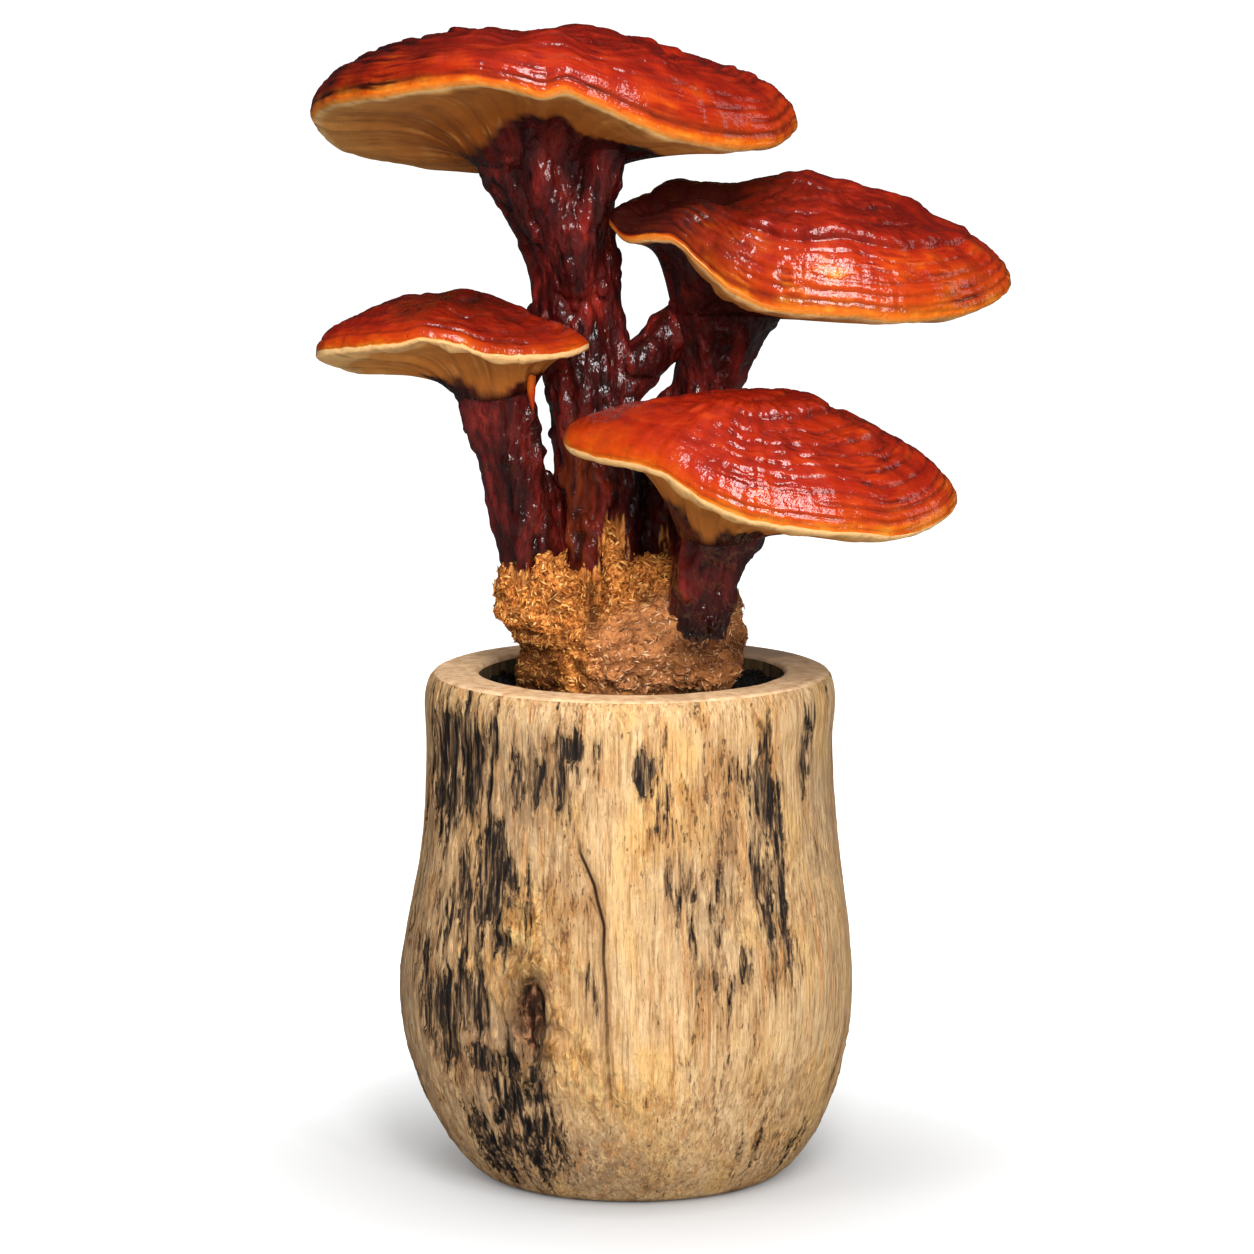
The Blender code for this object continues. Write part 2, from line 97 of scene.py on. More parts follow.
# Each cap has these values. Where one changes round the cap, it has rows of (bearing, value).
# crown: the top point; neck: the section of the stem that it stands on
# fullness: 1 for a dome and 0 for a cone, at bearings 0, 90, 180 and 270
# bulge: how steeply the dome rises at its edge; lip: half the edge's thickness
# lumps, swells: (x, y, radius, height) on the bare form and on its finer surface
# edge: (bearing, reach from the crown, height); sides: how many points go round it
# gnarl: strength of the wrinkles; hang: how far the underside hangs down at the front of the neck
# rings: growth zones, as (share of the reach where each ends, strength of its step, tone)
# lined: strength of the rings; grooves: (distance from the rim, depth, from and to bearing, darkness, partly
# painted shade)
# cream: shares of the underside where its cream zone starts and ends, and how dark it is at the neck, partly
# painted shade
# collar: share of the underside, from the stem outwards, that is lacquered like the stem
# orange, gold: widths of these bands at the rim; pale: height above the edge up to which it is pale
# dark: (x, y, radius, darkness) of dark places on the top; seed: number of its noise pattern
CAPS = {
    "cap_top": dict(
        crown=(-42, 0, 628),
        neck=STEM_TALL[-1],
        fullness=(0.5, 0.7, 1, 0.9),
        lumps=((-20, 6, 26, 4.5), (-90, 0, 24, 2), (-122, 0, 20, 3), (21, 0, 12, -6.2)),
        edge=(
            (0, 131.5, 580), (30, 118, 583), (60, 108, 577), (90, 102, 563), (120, 114, 553),
            (150, 135, 562), (166, 133.5, 574), (180, 131.5, 585), (194, 127.5, 592), (216, 119.5, 598.5),
            (232, 111, 603.7), (249, 104, 607), (258, 102, 604.5), (268, 100, 600), (275, 100.5, 602.5),
            (283, 100.5, 597), (297, 103, 585.5), (309, 107.5, 577.5), (326, 115.5, 572), (339, 125, 571),
        ),
        lip=4.9,
        bulge=((0, 2.2), (60, 2.8), (120, 2.8), (180, 1.8), (230, 3.2), (270, 3.8), (310, 3.4)),
        gnarl=1.3,
        hang=0,
        sides=360,
        rings=(
            (0.17, 1.8, 0.56), (0.29, 1.4, 0.58), (0.42, 2.8, 0.51), (0.55, 1.6, 0.56), (0.66, 1.8, 0.55),
            (0.76, 1.4, 0.6), (0.85, 1.2, 0.62), (0.93, 1, 0.66), (1, 0.2, 0.72),
        ),
        swells=(
            (-41, -73, 14, 8.5), (10, -68, 18, 8.5), (44, -56, 15, 4.5), (-85, -58, 18, 4.5),
            (-15, -50, 12, -4.5), (-62, -40, 12, -4), (60, -20, 16, 2), (-53, 0, 9, -4), (-115, 0, 22, -2),
            (-40, 60, 26, 2.4), (20, 50, 20, -2), (-120, -40, 14, 2),
        ),
        grooves=((12, 1.8, 325, 60, 0.55), (5.5, 0.7, 240, 70, 0.3), (19, 0.8, 300, 60, 0.3)),
        cream=(0.028, 0.062, 1),
        lined=((0, 1.2), (60, 1), (180, 1.4), (230, 1.4), (262, 1.2), (290, 1.2), (320, 1.2)),
        pale=(
            (0, -1), (60, -1), (180, -0.8), (215, -0.6), (240, -0.4), (262, -0.3), (290, -0.6), (320, -1),
        ),
        dark=((-150, 20, 75, 0.55), (-42, 0, 45, 0.15), (-120, -45, 45, 0.35)),
        orange=((0, 14), (60, 10), (120, 6), (180, 5), (205, 6), (235, 5), (262, 5), (290, 7), (330, 12)),
        gold=((0, 3.6), (60, 1.5), (180, 5), (205, 7), (235, 6), (250, 2.5), (290, 2.4), (330, 3.6)),
        collar=(
            (0, 0.34), (60, 0.25), (120, 0.15), (180, 0.04), (215, 0.06), (250, 0.2), (270, 0.26),
            (290, 0.24), (325, 0.4),
        ),
        seed=3,
    ),
    "cap_left": dict(
        crown=(-97, -28, 488.5),
        neck=STEM_LEFT[-1],
        fullness=(0.12, 0.35, 0.62, 0.35),
        lumps=((-114, -28, 13, 1.2), (-93, -28, 9, 1.6), (-76, -28, 12, 4)),
        edge=(
            (0, 70, 460), (30, 48, 455), (60, 50, 448), (90, 52, 445), (120, 56, 444), (150, 65, 447),
            (180, 73, 455), (190, 73.5, 457.5), (214, 66, 462.5), (229, 63.3, 465.5), (241, 61.7, 466.8),
            (257, 59.6, 471), (267, 59, 469.5), (278, 59.5, 466.3), (286, 59.4, 463), (299, 59.7, 460.7),
            (315, 64.8, 460), (330, 71.3, 460), (345, 76.3, 462.8),
        ),
        lip=3.4,
        bulge=((0, 2.3), (90, 2.3), (180, 2.3), (270, 2.3)),
        gnarl=0.8,
        hang=5,
        sides=230,
        rings=((0.22, 2, 0.54), (0.6, 2.4, 0.6), (0.8, 1.2, 0.64), (0.9, 0.8, 0.66), (1, 0.2, 0.72)),
        swells=(
            (-125, -30, 14, 2.4), (-104, -60, 10, 2.2), (-92, -30, 10, 2), (-76, -62, 8, 3),
            (-90, -66, 6, -1.4), (-140, -40, 8, 2),
        ),
        grooves=((9, 0.7, 160, 340, 0.3),),
        cream=(0, 0.23, 0.7),
        lined=((0, 0.8), (90, 0.6), (180, 0.6), (240, 0.6), (270, 0.8)),
        pale=(
            (0, 1.3), (60, 1), (120, 1), (180, 2.2), (215, 1.4), (250, 0.3), (275, 0.5), (300, 1),
            (340, 1.4),
        ),
        dark=((-97, -28, 40, 0.5), (-70, -40, 30, 0.2)),
        orange=((0, 7), (60, 4), (120, 4), (180, 9), (230, 8), (300, 7)),
        gold=((0, 1.2), (180, 4.5), (215, 3), (240, 1.6), (300, 1.2)),
        collar=((0, 0.15), (90, 0.15), (180, 0.15), (225, 0.07), (262, 0), (290, 0.02), (320, 0.1)),
        seed=5,
    ),
    "cap_right": dict(
        crown=(100, -12, 545),
        neck=STEM_RIGHT[-1],
        fullness=(0.35, 0.5, 0.8, 0.85),
        lumps=((95, 0, 24, 7), (48, -35, 18, -8), (30, 0, 26, 5), (146, 0, 18, 4.2)),
        edge=(
            (1, 105.7, 492.5), (30, 104, 502), (60, 88, 512), (90, 80, 520), (120, 83, 525), (150, 94, 528),
            (172, 101, 528), (187, 112, 527), (192, 108, 521.5), (202, 95.6, 522), (206, 90, 522),
            (213, 84, 515.5), (220, 81, 508), (228, 78.3, 500), (236, 75, 493.5), (249, 73, 487.5),
            (268, 72, 485), (286, 74.7, 483.5), (303, 81, 481), (321, 86.6, 481.7), (344, 96.6, 485.5),
        ),
        lip=4.7,
        bulge=((0, 1.8), (90, 2), (180, 2), (270, 2)),
        gnarl=1.3,
        hang=0,
        sides=340,
        rings=(
            (0.22, 2.6, 0.6), (0.4, 2, 0.6), (0.58, 1.6, 0.58), (0.79, 5, 0.59), (0.86, 0.8, 0.75),
            (0.91, 0.8, 0.77), (0.95, 0.6, 0.76), (0.98, 0.4, 0.78), (1, 0.2, 0.81),
        ),
        swells=(
            (24, -46, 9, 4.5), (38, -44, 9, 5), (51, -42, 10, 3.5), (12, -30, 10, -4), (28, -26, 10, -4),
            (44, -24, 10, -3), (92, -22, 10, 3), (108, -16, 8, -2.6), (140, -20, 18, 2), (120, -4, 9, 3),
            (80, 0, 12, 2), (160, -10, 12, -1.6),
        ),
        grooves=((6, 0.6, 220, 60, 0.32), (12, 0.6, 225, 40, 0.28), (19, 0.5, 230, 30, 0.25)),
        cream=(0.022, 0.07, 0.9),
        lined=((0, 0.65), (90, 0.8), (180, 0.8), (220, 0.7), (270, 1.1), (320, 1.2)),
        pale=((0, -1), (60, -1), (180, 0), (200, -0.2), (215, 0.2), (240, 0), (280, -0.3), (320, -1)),
        dark=((16, 0, 60, 1.6), (110, -10, 45, 0.15)),
        orange=(
            (0, 18), (60, 8), (120, 3), (180, 1.2), (196, 1.2), (212, 8), (240, 14), (270, 23), (320, 25),
        ),
        gold=((0, 3.5), (60, 1.5), (180, 0.8), (205, 1.2), (250, 2.6), (300, 3.5)),
        collar=(
            (0, 0.25), (90, 0.2), (180, 0.6), (205, 0.66), (225, 0.62), (245, 0.6), (265, 0.52), (290, 0.4),
            (330, 0.3),
        ),
        seed=8,
    ),
    "cap_front": dict(
        crown=(62, -75, 441),
        neck=STEM_FRONT[-1],
        fullness=(0.32, 0.4, 0.45, 0.35),
        lumps=((85, -70, 22, 3), (12, -85, 16, 2)),
        edge=(
            (0, 111, 382), (30, 98, 395), (60, 75, 408), (90, 62, 414), (120, 66, 418), (150, 82, 418),
            (177, 98.7, 414.7), (183, 96, 412.7), (196, 84, 409), (208, 74.8, 407.8), (218, 69, 406),
            (228, 66, 403), (240, 63.2, 395), (249, 63, 390), (263, 63.5, 383.5), (276, 65.4, 380),
            (288, 68.4, 378), (299, 74.6, 376), (312, 82.5, 374.3), (326, 92, 371.3), (336, 97.3, 372.3),
            (348, 104, 375.7),
        ),
        lip=4.7,
        bulge=((0, 1.7), (90, 2.2), (180, 2.2), (270, 2.2)),
        gnarl=0.9,
        hang=4,
        sides=340,
        rings=(
            (0.2, 1, 0.62), (0.4, 3.8, 0.62), (0.5, 1, 0.63), (0.6, 1.4, 0.68), (0.69, 0.9, 0.66),
            (0.77, 1, 0.7), (0.85, 0.8, 0.68), (0.92, 0.8, 0.68), (1, 0.3, 0.76),
        ),
        swells=(
            (50, -100, 16, 2.4), (85, -105, 16, -1.2), (15, -80, 16, 2), (125, -85, 18, 2.2),
            (100, -50, 14, -2), (120, -45, 14, 2),
        ),
        grooves=((13, 1.4, 290, 40, 0.4), (6.5, 0.6, 225, 60, 0.28)),
        cream=(0, 0.075, 0.6),
        lined=(
            (0, 1.3), (90, 0.9), (150, 0.4), (180, 0.15), (235, 0.25), (262, 0.8), (285, 1.1), (310, 1.2),
        ),
        pale=((0, -0.6), (60, -1), (180, 0.6), (210, 0.4), (230, 0.6), (260, 0.3), (300, 0), (330, -0.4)),
        dark=((90, -55, 40, 0.25), (5, -72, 25, 0.16)),
        orange=((0, 14), (60, 8), (120, 8), (180, 17), (205, 15), (230, 11), (270, 12), (320, 14)),
        gold=((0, 6), (60, 2), (180, 2.8), (230, 2), (270, 2.6), (310, 5.5)),
        collar=((0, 0.14), (90, 0.15), (180, 0.12), (225, 0.06), (250, 0), (270, 0.08), (300, 0.14)),
        seed=13,
    ),
}

# Noise

RANDOM = np.random.default_rng(11)
PERMUTED = np.tile(RANDOM.permutation(256), 3)
SLOPES = RANDOM.normal(size=(256, 3))
SLOPES /= np.linalg.norm(SLOPES, axis=1)[:, None]


def noise(points, scale, seed=0):
    """Smooth noise from about -1 to 1, with so many cells a metre."""
    at = np.asarray(points, float) * scale + seed * 17.37
    cell = np.floor(at).astype(int)
    part = at - cell
    cell &= 255
    fade = part**3 * (part * (part * 6 - 15) + 10)
    total = np.zeros(len(at))
    for corner in itertools.product((0, 1), repeat=3):
        x, y, z = (cell + corner).T
        slope = SLOPES[PERMUTED[PERMUTED[PERMUTED[x] + y] + z]]
        share = np.prod(np.where(corner, fade, 1 - fade), axis=1)
        total += share * np.einsum("ij,ij->i", slope, part - corner)
    return 1.6 * total


def layered(points, scale, layers, seed=0, keep=0.5):
    """Noise with finer and weaker layers."""
    scale = np.asarray(scale, float)
    return sum(keep**k * noise(points, scale * 2.03**k, seed + k) for k in range(layers))


def smooth_step(low, high, value):
    """0 below low, 1 above high, and smooth between."""
    share = np.clip((value - low) / (high - low), 0, 1)
    return share * share * (3 - 2 * share)


def bell(away):
    """1 where away is 0, and falling off smoothly on both sides."""
    return np.exp(-np.square(away))


def smooth_rows(rows, places, period=None):
    """Rows at these places, on a smooth curve through rows whose first column is their place."""
    rows = np.asarray(rows, float)
    places = np.asarray(places, float)
    if period:
        shift = np.zeros(rows.shape[1])
        shift[0] = period
        rows = np.vstack((rows[-2:] - shift, rows, rows[:2] + shift))
        places = rows[2, 0] + (places - rows[2, 0]) % period
    at = rows[:, 0]
    slopes = np.gradient(rows, at, axis=0)
    i = np.clip(np.searchsorted(at, places, side="right") - 1, 0, len(rows) - 2)
    span = (at[i + 1] - at[i])[..., None]
    t = (places - at[i])[..., None] / span
    return (
        (1 + 2 * t) * (1 - t) ** 2 * rows[i]
        + t * (1 - t) ** 2 * span * slopes[i]
        + t**2 * (3 - 2 * t) * rows[i + 1]
        + t**2 * (t - 1) * span * slopes[i + 1]
    )


def section_at(sections, z):
    rows = [(height, x, y, wide, deep) for x, y, height, wide, deep in sections]
    return smooth_rows(rows, np.clip(z, rows[0][0], rows[-1][0]))[..., 1:]


# Meshes


def new_mesh(name, points, faces):
    mesh = bpy.data.meshes.new(name)
    mesh.from_pydata(points, [], faces)
    return mesh


def new_object(name, data):
    item = bpy.data.objects.new(name, data)
    bpy.context.scene.collection.objects.link(item)
    return item


def add_piece(name, mesh, materials, node=None):
    piece = new_object(name, mesh)
    for material in materials:
        mesh.materials.append(material)
    mesh.shade_smooth()
    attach(piece, "root")
    if node:
        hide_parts(node)
    return piece


def give_values(mesh, **values):
    """Stores one number for each vertex, for the materials to read."""
    for name, numbers in values.items():
        layer = mesh.attributes.new(name, "FLOAT", "POINT")
        layer.data.foreach_set("value", np.asarray(numbers, np.float32).ravel())


def ringed_mesh(name, rings, top, bottom):
    """A closed mesh from rings of points, from the top pole down to the bottom pole."""
    count, sides, _ = rings.shape
    side = np.arange(sides)
    after = (side + 1) % sides
    faces = []
    for low in np.arange(count - 1) * sides:
        high = low + sides
        faces += np.stack((low + side, high + side, high + after, low + after), axis=1).tolist()
    last, crown, foot = (count - 1) * sides, count * sides, count * sides + 1
    faces += np.stack((np.full(sides, crown), side, after), axis=1).tolist()
    faces += np.stack((np.full(sides, foot), last + after, last + side), axis=1).tolist()
    return new_mesh(name, np.vstack((rings.reshape(-1, 3), [top], [bottom])), faces)


def grid_normals(grid):
    """Unit normals of a grid of rings that close on themselves."""
    down = np.gradient(grid, axis=0)
    wrapped = np.concatenate((grid[:, -1:], grid, grid[:, :1]), axis=1)
    across = (wrapped[:, 2:] - wrapped[:, :-2]) / 2
    normals = np.cross(down, across)
    return normals / np.maximum(np.linalg.norm(normals, axis=2), 1e-12)[..., None]


def unit_ball(subdivisions):
    """Points and triangles of a ball of radius 1."""
    shape = bmesh.new()
    bmesh.ops.create_icosphere(shape, subdivisions=subdivisions, radius=1.0)
    points = np.array([vertex.co for vertex in shape.verts])
    faces = [[vertex.index for vertex in face.verts] for face in shape.faces]
    shape.free()
    return points, faces


def repeated(faces, count, size):
    """The faces of one form of so many points, for count such forms."""
    faces = np.array(faces)
    starts = np.arange(count) * size
    return (faces[None] + starts[:, None, None]).reshape(-1, faces.shape[1]).tolist()


def fused_mesh(name, beads, voxel):
    """One closed surface round overlapping beads of (x, y, z, and half sizes along x, y and z)."""
    ball, ball_faces = unit_ball(2)
    beads = np.asarray(beads, float)
    points = (ball[None] * beads[:, None, 3:] + beads[:, None, :3]).reshape(-1, 3)
    mesh = new_mesh(name + "_beads", points, repeated(ball_faces, len(beads), len(ball)))
    guide = new_object(name + "_beads", mesh)
    remesh = guide.modifiers.new("fuse", "REMESH")
    remesh.mode = "VOXEL"
    remesh.voxel_size = voxel
    guide.modifiers.new("soften", "SMOOTH").iterations = 2
    graph = bpy.context.evaluated_depsgraph_get()
    made = bpy.data.meshes.new_from_object(guide.evaluated_get(graph))
    made.name = name
    bpy.data.objects.remove(guide)
    bpy.data.meshes.remove(mesh)
    return made


def chain(rows, step=0.004):
    """Beads along a smooth path through (x, y, z, thickness) rows in millimetres."""
    rows = np.array(rows) / 1000
    length = np.linalg.norm(np.diff(rows[:, :3], axis=0), axis=1).sum()
    rows = np.column_stack((np.linspace(0, 1, len(rows)), rows))
    at = smooth_rows(rows, np.linspace(0, 1, max(2, round(length / step))))
    return [(x, y, z, size, size, size) for _, x, y, z, size in at]


def points_of(mesh):
    points = np.empty(len(mesh.vertices) * 3, np.float32)
    mesh.vertices.foreach_get("co", points)
    return points.reshape(-1, 3).astype(float)


def push_out(mesh, amounts):
    """Moves each vertex along its normal."""
    points = points_of(mesh)
    normals = np.empty(len(mesh.vertices) * 3, np.float32)
    mesh.vertex_normals.foreach_get("vector", normals)
    points += normals.reshape(-1, 3) * amounts[:, None]
    mesh.vertices.foreach_set("co", points.astype(np.float32).ravel())
    mesh.update()
    return points


# Materials


class Look:
    """A material, its base colour while it is built up, and short names for its shader nodes."""

    def __init__(self, name, roughness, coat=0.0, coat_roughness=0.1, specular=0.5):
        self.material = bpy.data.materials.new(name)
        self.material.use_nodes = True
        self.nodes, self.links = self.material.node_tree.nodes, self.material.node_tree.links
        self.shader("Roughness", roughness)
        self.shader("Coat Weight", coat)
        self.shader("Coat Roughness", coat_roughness)
        self.shader("Specular IOR Level", specular)

    def feed(self, socket, value):
        if isinstance(value, bpy.types.NodeSocket):
            self.links.new(value, socket)
        elif socket.type == "RGBA":
            socket.default_value = (*value, 1.0)
        else:
            socket.default_value = value

    def shader(self, name, value):
        self.feed(self.nodes["Principled BSDF"].inputs[name], value)

    def speckle(self, scale, detail=4.0, rough=0.55, warp=0.0):
        """Noise in the piece's own space, with so many cells a metre, or so many along each axis."""
        place = self.nodes.new("ShaderNodeTexCoord")
        mapping = self.nodes.new("ShaderNodeMapping")
        mapping.inputs["Scale"].default_value = scale if isinstance(scale, tuple) else (scale,) * 3
        self.feed(mapping.inputs["Vector"], place.outputs["Object"])
        texture = self.nodes.new("ShaderNodeTexNoise")
        texture.inputs["Scale"].default_value = 1.0
        texture.inputs["Detail"].default_value = detail
        texture.inputs["Roughness"].default_value = rough
        texture.inputs["Distortion"].default_value = warp
        self.feed(texture.inputs["Vector"], mapping.outputs["Vector"])
        return texture.outputs["Fac"]

    def stored(self, name):
        reader = self.nodes.new("ShaderNodeAttribute")
        reader.attribute_name = name
        return reader.outputs["Fac"]

    def ramp(self, value, *stops):
        """Colours along a value, from (place, red, green, blue) stops."""
        node = self.nodes.new("ShaderNodeValToRGB")
        elements = node.color_ramp.elements
        for _ in stops[2:]:
            elements.new(1.0)
        for element, (place, *colour) in zip(elements, stops):
            element.position = place
            element.color = (*colour, 1.0)
        self.feed(node.inputs["Fac"], value)
        return node.outputs["Color"]

    def mixed(self, share, first, second, blend="MIX"):
        node = self.nodes.new("ShaderNodeMix")
        node.data_type = "RGBA"
        node.blend_type = blend
        for index, value in ((0, share), (6, first), (7, second)):
            self.feed(node.inputs[index], value)
        return node.outputs[2]

    def tint(self, share, colour, amount=1.0, blend="MIX"):
        """Mixes a colour into the base colour, by a share from 0 to 1 times an amount."""
        self.colour = self.mixed(self.times(share, amount), self.colour, colour, blend)

    def calc(self, operation, *values):
        node = self.nodes.new("ShaderNodeMath")
        node.operation = operation
        for socket, value in zip(node.inputs, values):
            self.feed(socket, value)
        return node.outputs[0]

    def times(self, value, amount):
        return self.calc("MULTIPLY", value, amount)

    def between(self, value, low, high):
        """0 at low, 1 at high, and smooth between."""
        node = self.nodes.new("ShaderNodeMapRange")
        node.interpolation_type = "SMOOTHSTEP"
        self.feed(node.inputs["Value"], value)
        self.feed(node.inputs["From Min"], low)
        self.feed(node.inputs["From Max"], high)
        return node.outputs["Result"]

    def finish(self, *layers):
        """Sets the base colour, and fine relief from (height, distance in metres) layers."""
        self.shader("Base Color", self.colour)
        normal = None
        for height, distance in layers:
            node = self.nodes.new("ShaderNodeBump")
            node.inputs["Distance"].default_value = distance
            node.inputs["Strength"].default_value = 1.0
            self.feed(node.inputs["Height"], height)
            if normal:
                self.feed(node.inputs["Normal"], normal)
            normal = node.outputs["Normal"]
        if normal:
            self.shader("Normal", normal)
            self.shader("Coat Normal", normal)
        return self.material


def cap_lacquer():
    look = Look("cap_lacquer", 0.5, coat=1.0, coat_roughness=0.05, specular=0.12)
    mottle = look.calc("MULTIPLY_ADD", look.speckle(60, 5.0), 0.30, -0.15)
    look.colour = look.ramp(
        look.calc("ADD", look.stored("tone"), mottle),
        (0.00, 0.036, 0.002, 0.001),
        (0.30, 0.085, 0.003, 0.001),
        (0.48, 0.140, 0.004, 0.001),
        (0.60, 0.215, 0.007, 0.001),
        (0.70, 0.290, 0.012, 0.001),
        (0.80, 0.370, 0.026, 0.001),
        (0.87, 0.435, 0.047, 0.001),
        (0.93, 0.560, 0.115, 0.004),
        (1.00, 0.680, 0.270, 0.030),
    )
    # Stored dark: partly painted shade in the creases, grooves and hollows of the relief, and darker places.
    look.tint(look.stored("dark"), (0.018, 0.002, 0.0015))
    look.tint(look.between(look.speckle(420, 3.0), 0.60, 0.85), (0.10, 0.008, 0.003))
    pale = look.stored("pale")
    edge = look.ramp(pale, (0.45, 0.560, 0.230, 0.045), (1.00, 0.660, 0.400, 0.175))
    look.tint(look.between(pale, 0.02, 0.45), edge)
    return look.finish((look.speckle(280, 2.0), 0.00042), (look.speckle(800, 1.0), 0.00020))


def cap_underside():
    look = Look("cap_underside", 0.75, specular=0.08)
    streak, blotch = look.stored("streak"), look.speckle(55)
    # Past the cream band the underside turns brown and darker towards the stem: partly its own colour, partly
    # painted shade under the lip and the cap.
    look.colour = look.ramp(
        look.stored("depth"),
        (0.00, 0.480, 0.100, 0.008),
        (0.02, 0.560, 0.220, 0.035),
        (0.035, 0.650, 0.390, 0.160),
        (0.06, 0.600, 0.330, 0.115),
        (0.085, 0.500, 0.215, 0.050),
        (0.45, 0.430, 0.150, 0.030),
        (0.75, 0.270, 0.075, 0.010),
        (1.00, 0.160, 0.036, 0.004),
    )
    look.tint(look.between(streak, 0.55, 1.05), (0.190, 0.060, 0.012), 0.55)
    look.tint(look.between(streak, 0.40, 0.10), (0.620, 0.300, 0.090), 0.35)
    look.tint(look.between(blotch, 0.50, 0.75), (0.240, 0.080, 0.018), 0.5)
    lacquer = look.stored("lacquer")
    look.tint(lacquer, look.ramp(
        look.speckle((70, 70, 24), warp=0.4),
        (0.30, 0.008, 0.0009, 0.0008),
        (0.50, 0.028, 0.0022, 0.0016),
        (0.68, 0.075, 0.0052, 0.0030),
    ))
    look.shader("Coat Weight", lacquer)
    wrinkle = look.times(lacquer, look.speckle((330, 330, 150), 1.5, warp=0.3))
    pores = look.speckle(1400, 2.0)
    return look.finish((streak, 0.0005), (blotch, 0.002), (pores, 0.0001), (wrinkle, 0.0011))


def stem_lacquer():
    look = Look("stem_lacquer", 0.36, coat=1.0, coat_roughness=0.045, specular=0.30)
    look.colour = look.ramp(
        look.speckle((70, 70, 24), warp=0.4),
        (0.30, 0.012, 0.0012, 0.0010),
        (0.46, 0.046, 0.0030, 0.0022),
        (0.58, 0.108, 0.0068, 0.0048),
        (0.72, 0.250, 0.0160, 0.0090),
    )
    look.tint(look.stored("amber"), (0.270, 0.040, 0.007))
    # Painted shade, stored as dark: the stem's hollows, the cleft between the stems, the foot by the block
    # and the top under the cap.
    look.tint(look.stored("dark"), (0.003, 0.0004, 0.0003))
    streak = look.speckle((520, 520, 50))
    fibre = look.ramp(
        streak, (0.32, 0.090, 0.020, 0.005), (0.48, 0.460, 0.140, 0.026), (0.66, 0.760, 0.340, 0.085),
    )
    # The worn fibre takes the same painted shade.
    fibre = look.mixed(look.stored("dark"), fibre, (0.030, 0.008, 0.003))
    worn = look.calc("ADD", look.stored("worn"), look.calc("MULTIPLY_ADD", streak, 1.2, -0.6))
    worn = look.between(worn, 0.40, 0.62)
    look.tint(worn, fibre)
    look.shader("Coat Weight", look.calc("SUBTRACT", 1.0, worn))
    look.shader("Roughness", look.calc("MULTIPLY_ADD", worn, 0.5, 0.36))
    wrinkle = look.speckle((330, 330, 150), 1.5, warp=0.3)
    flute = look.speckle((150, 150, 40), 1.0)
    pucker = look.speckle((700, 700, 380), 1.0)
    return look.finish((wrinkle, 0.0015), (flute, 0.0014), (streak, 0.0002), (pucker, 0.00045))


def chip_block():
    look = Look("chip_block", 0.85, specular=0.1)
    grain = look.speckle(420, warp=0.6)
    look.colour = look.ramp(
        grain, (0.34, 0.070, 0.018, 0.004), (0.50, 0.420, 0.130, 0.026), (0.64, 0.760, 0.320, 0.080),
    )
    look.tint(look.stored("pink"), (0.50, 0.21, 0.085))
    # Painted shade, stored as dark: crevices, the step under the left lump, the crack, round the front stem's
    # foot, the right side and the bottom.
    look.tint(look.stored("dark"), (0.060, 0.018, 0.005))
    return look.finish((grain, 0.0022))


def chip_flakes():
    look = Look("chip_flakes", 0.7, specular=0.2)
    tint = look.stored("tint")
    look.colour = look.ramp(
        tint,
        (0.00, 0.260, 0.065, 0.010),
        (0.22, 0.700, 0.235, 0.042),
        (0.65, 0.880, 0.400, 0.095),
        (1.00, 0.920, 0.540, 0.190),
    )
    look.tint(look.stored("pink"), look.ramp(
        tint,
        (0.00, 0.150, 0.045, 0.014),
        (0.25, 0.480, 0.195, 0.075),
        (0.70, 0.680, 0.350, 0.165),
        (1.00, 0.800, 0.520, 0.300),
    ))
    # Painted shade, stored as dark: crevices, the step under the left lump, the crack, round the front stem's
    # foot, the right side and the bottom.
    look.tint(look.stored("dark"), (0.070, 0.022, 0.007))
    return look.finish()


def soil_black():
    look = Look("soil_black", 0.7, specular=0.25)
    grain = look.speckle(500, 3.0)
    look.colour = look.ramp(grain, (0.40, 0.002, 0.002, 0.002), (0.70, 0.012, 0.010, 0.009))
    return look.finish((grain, 0.002))


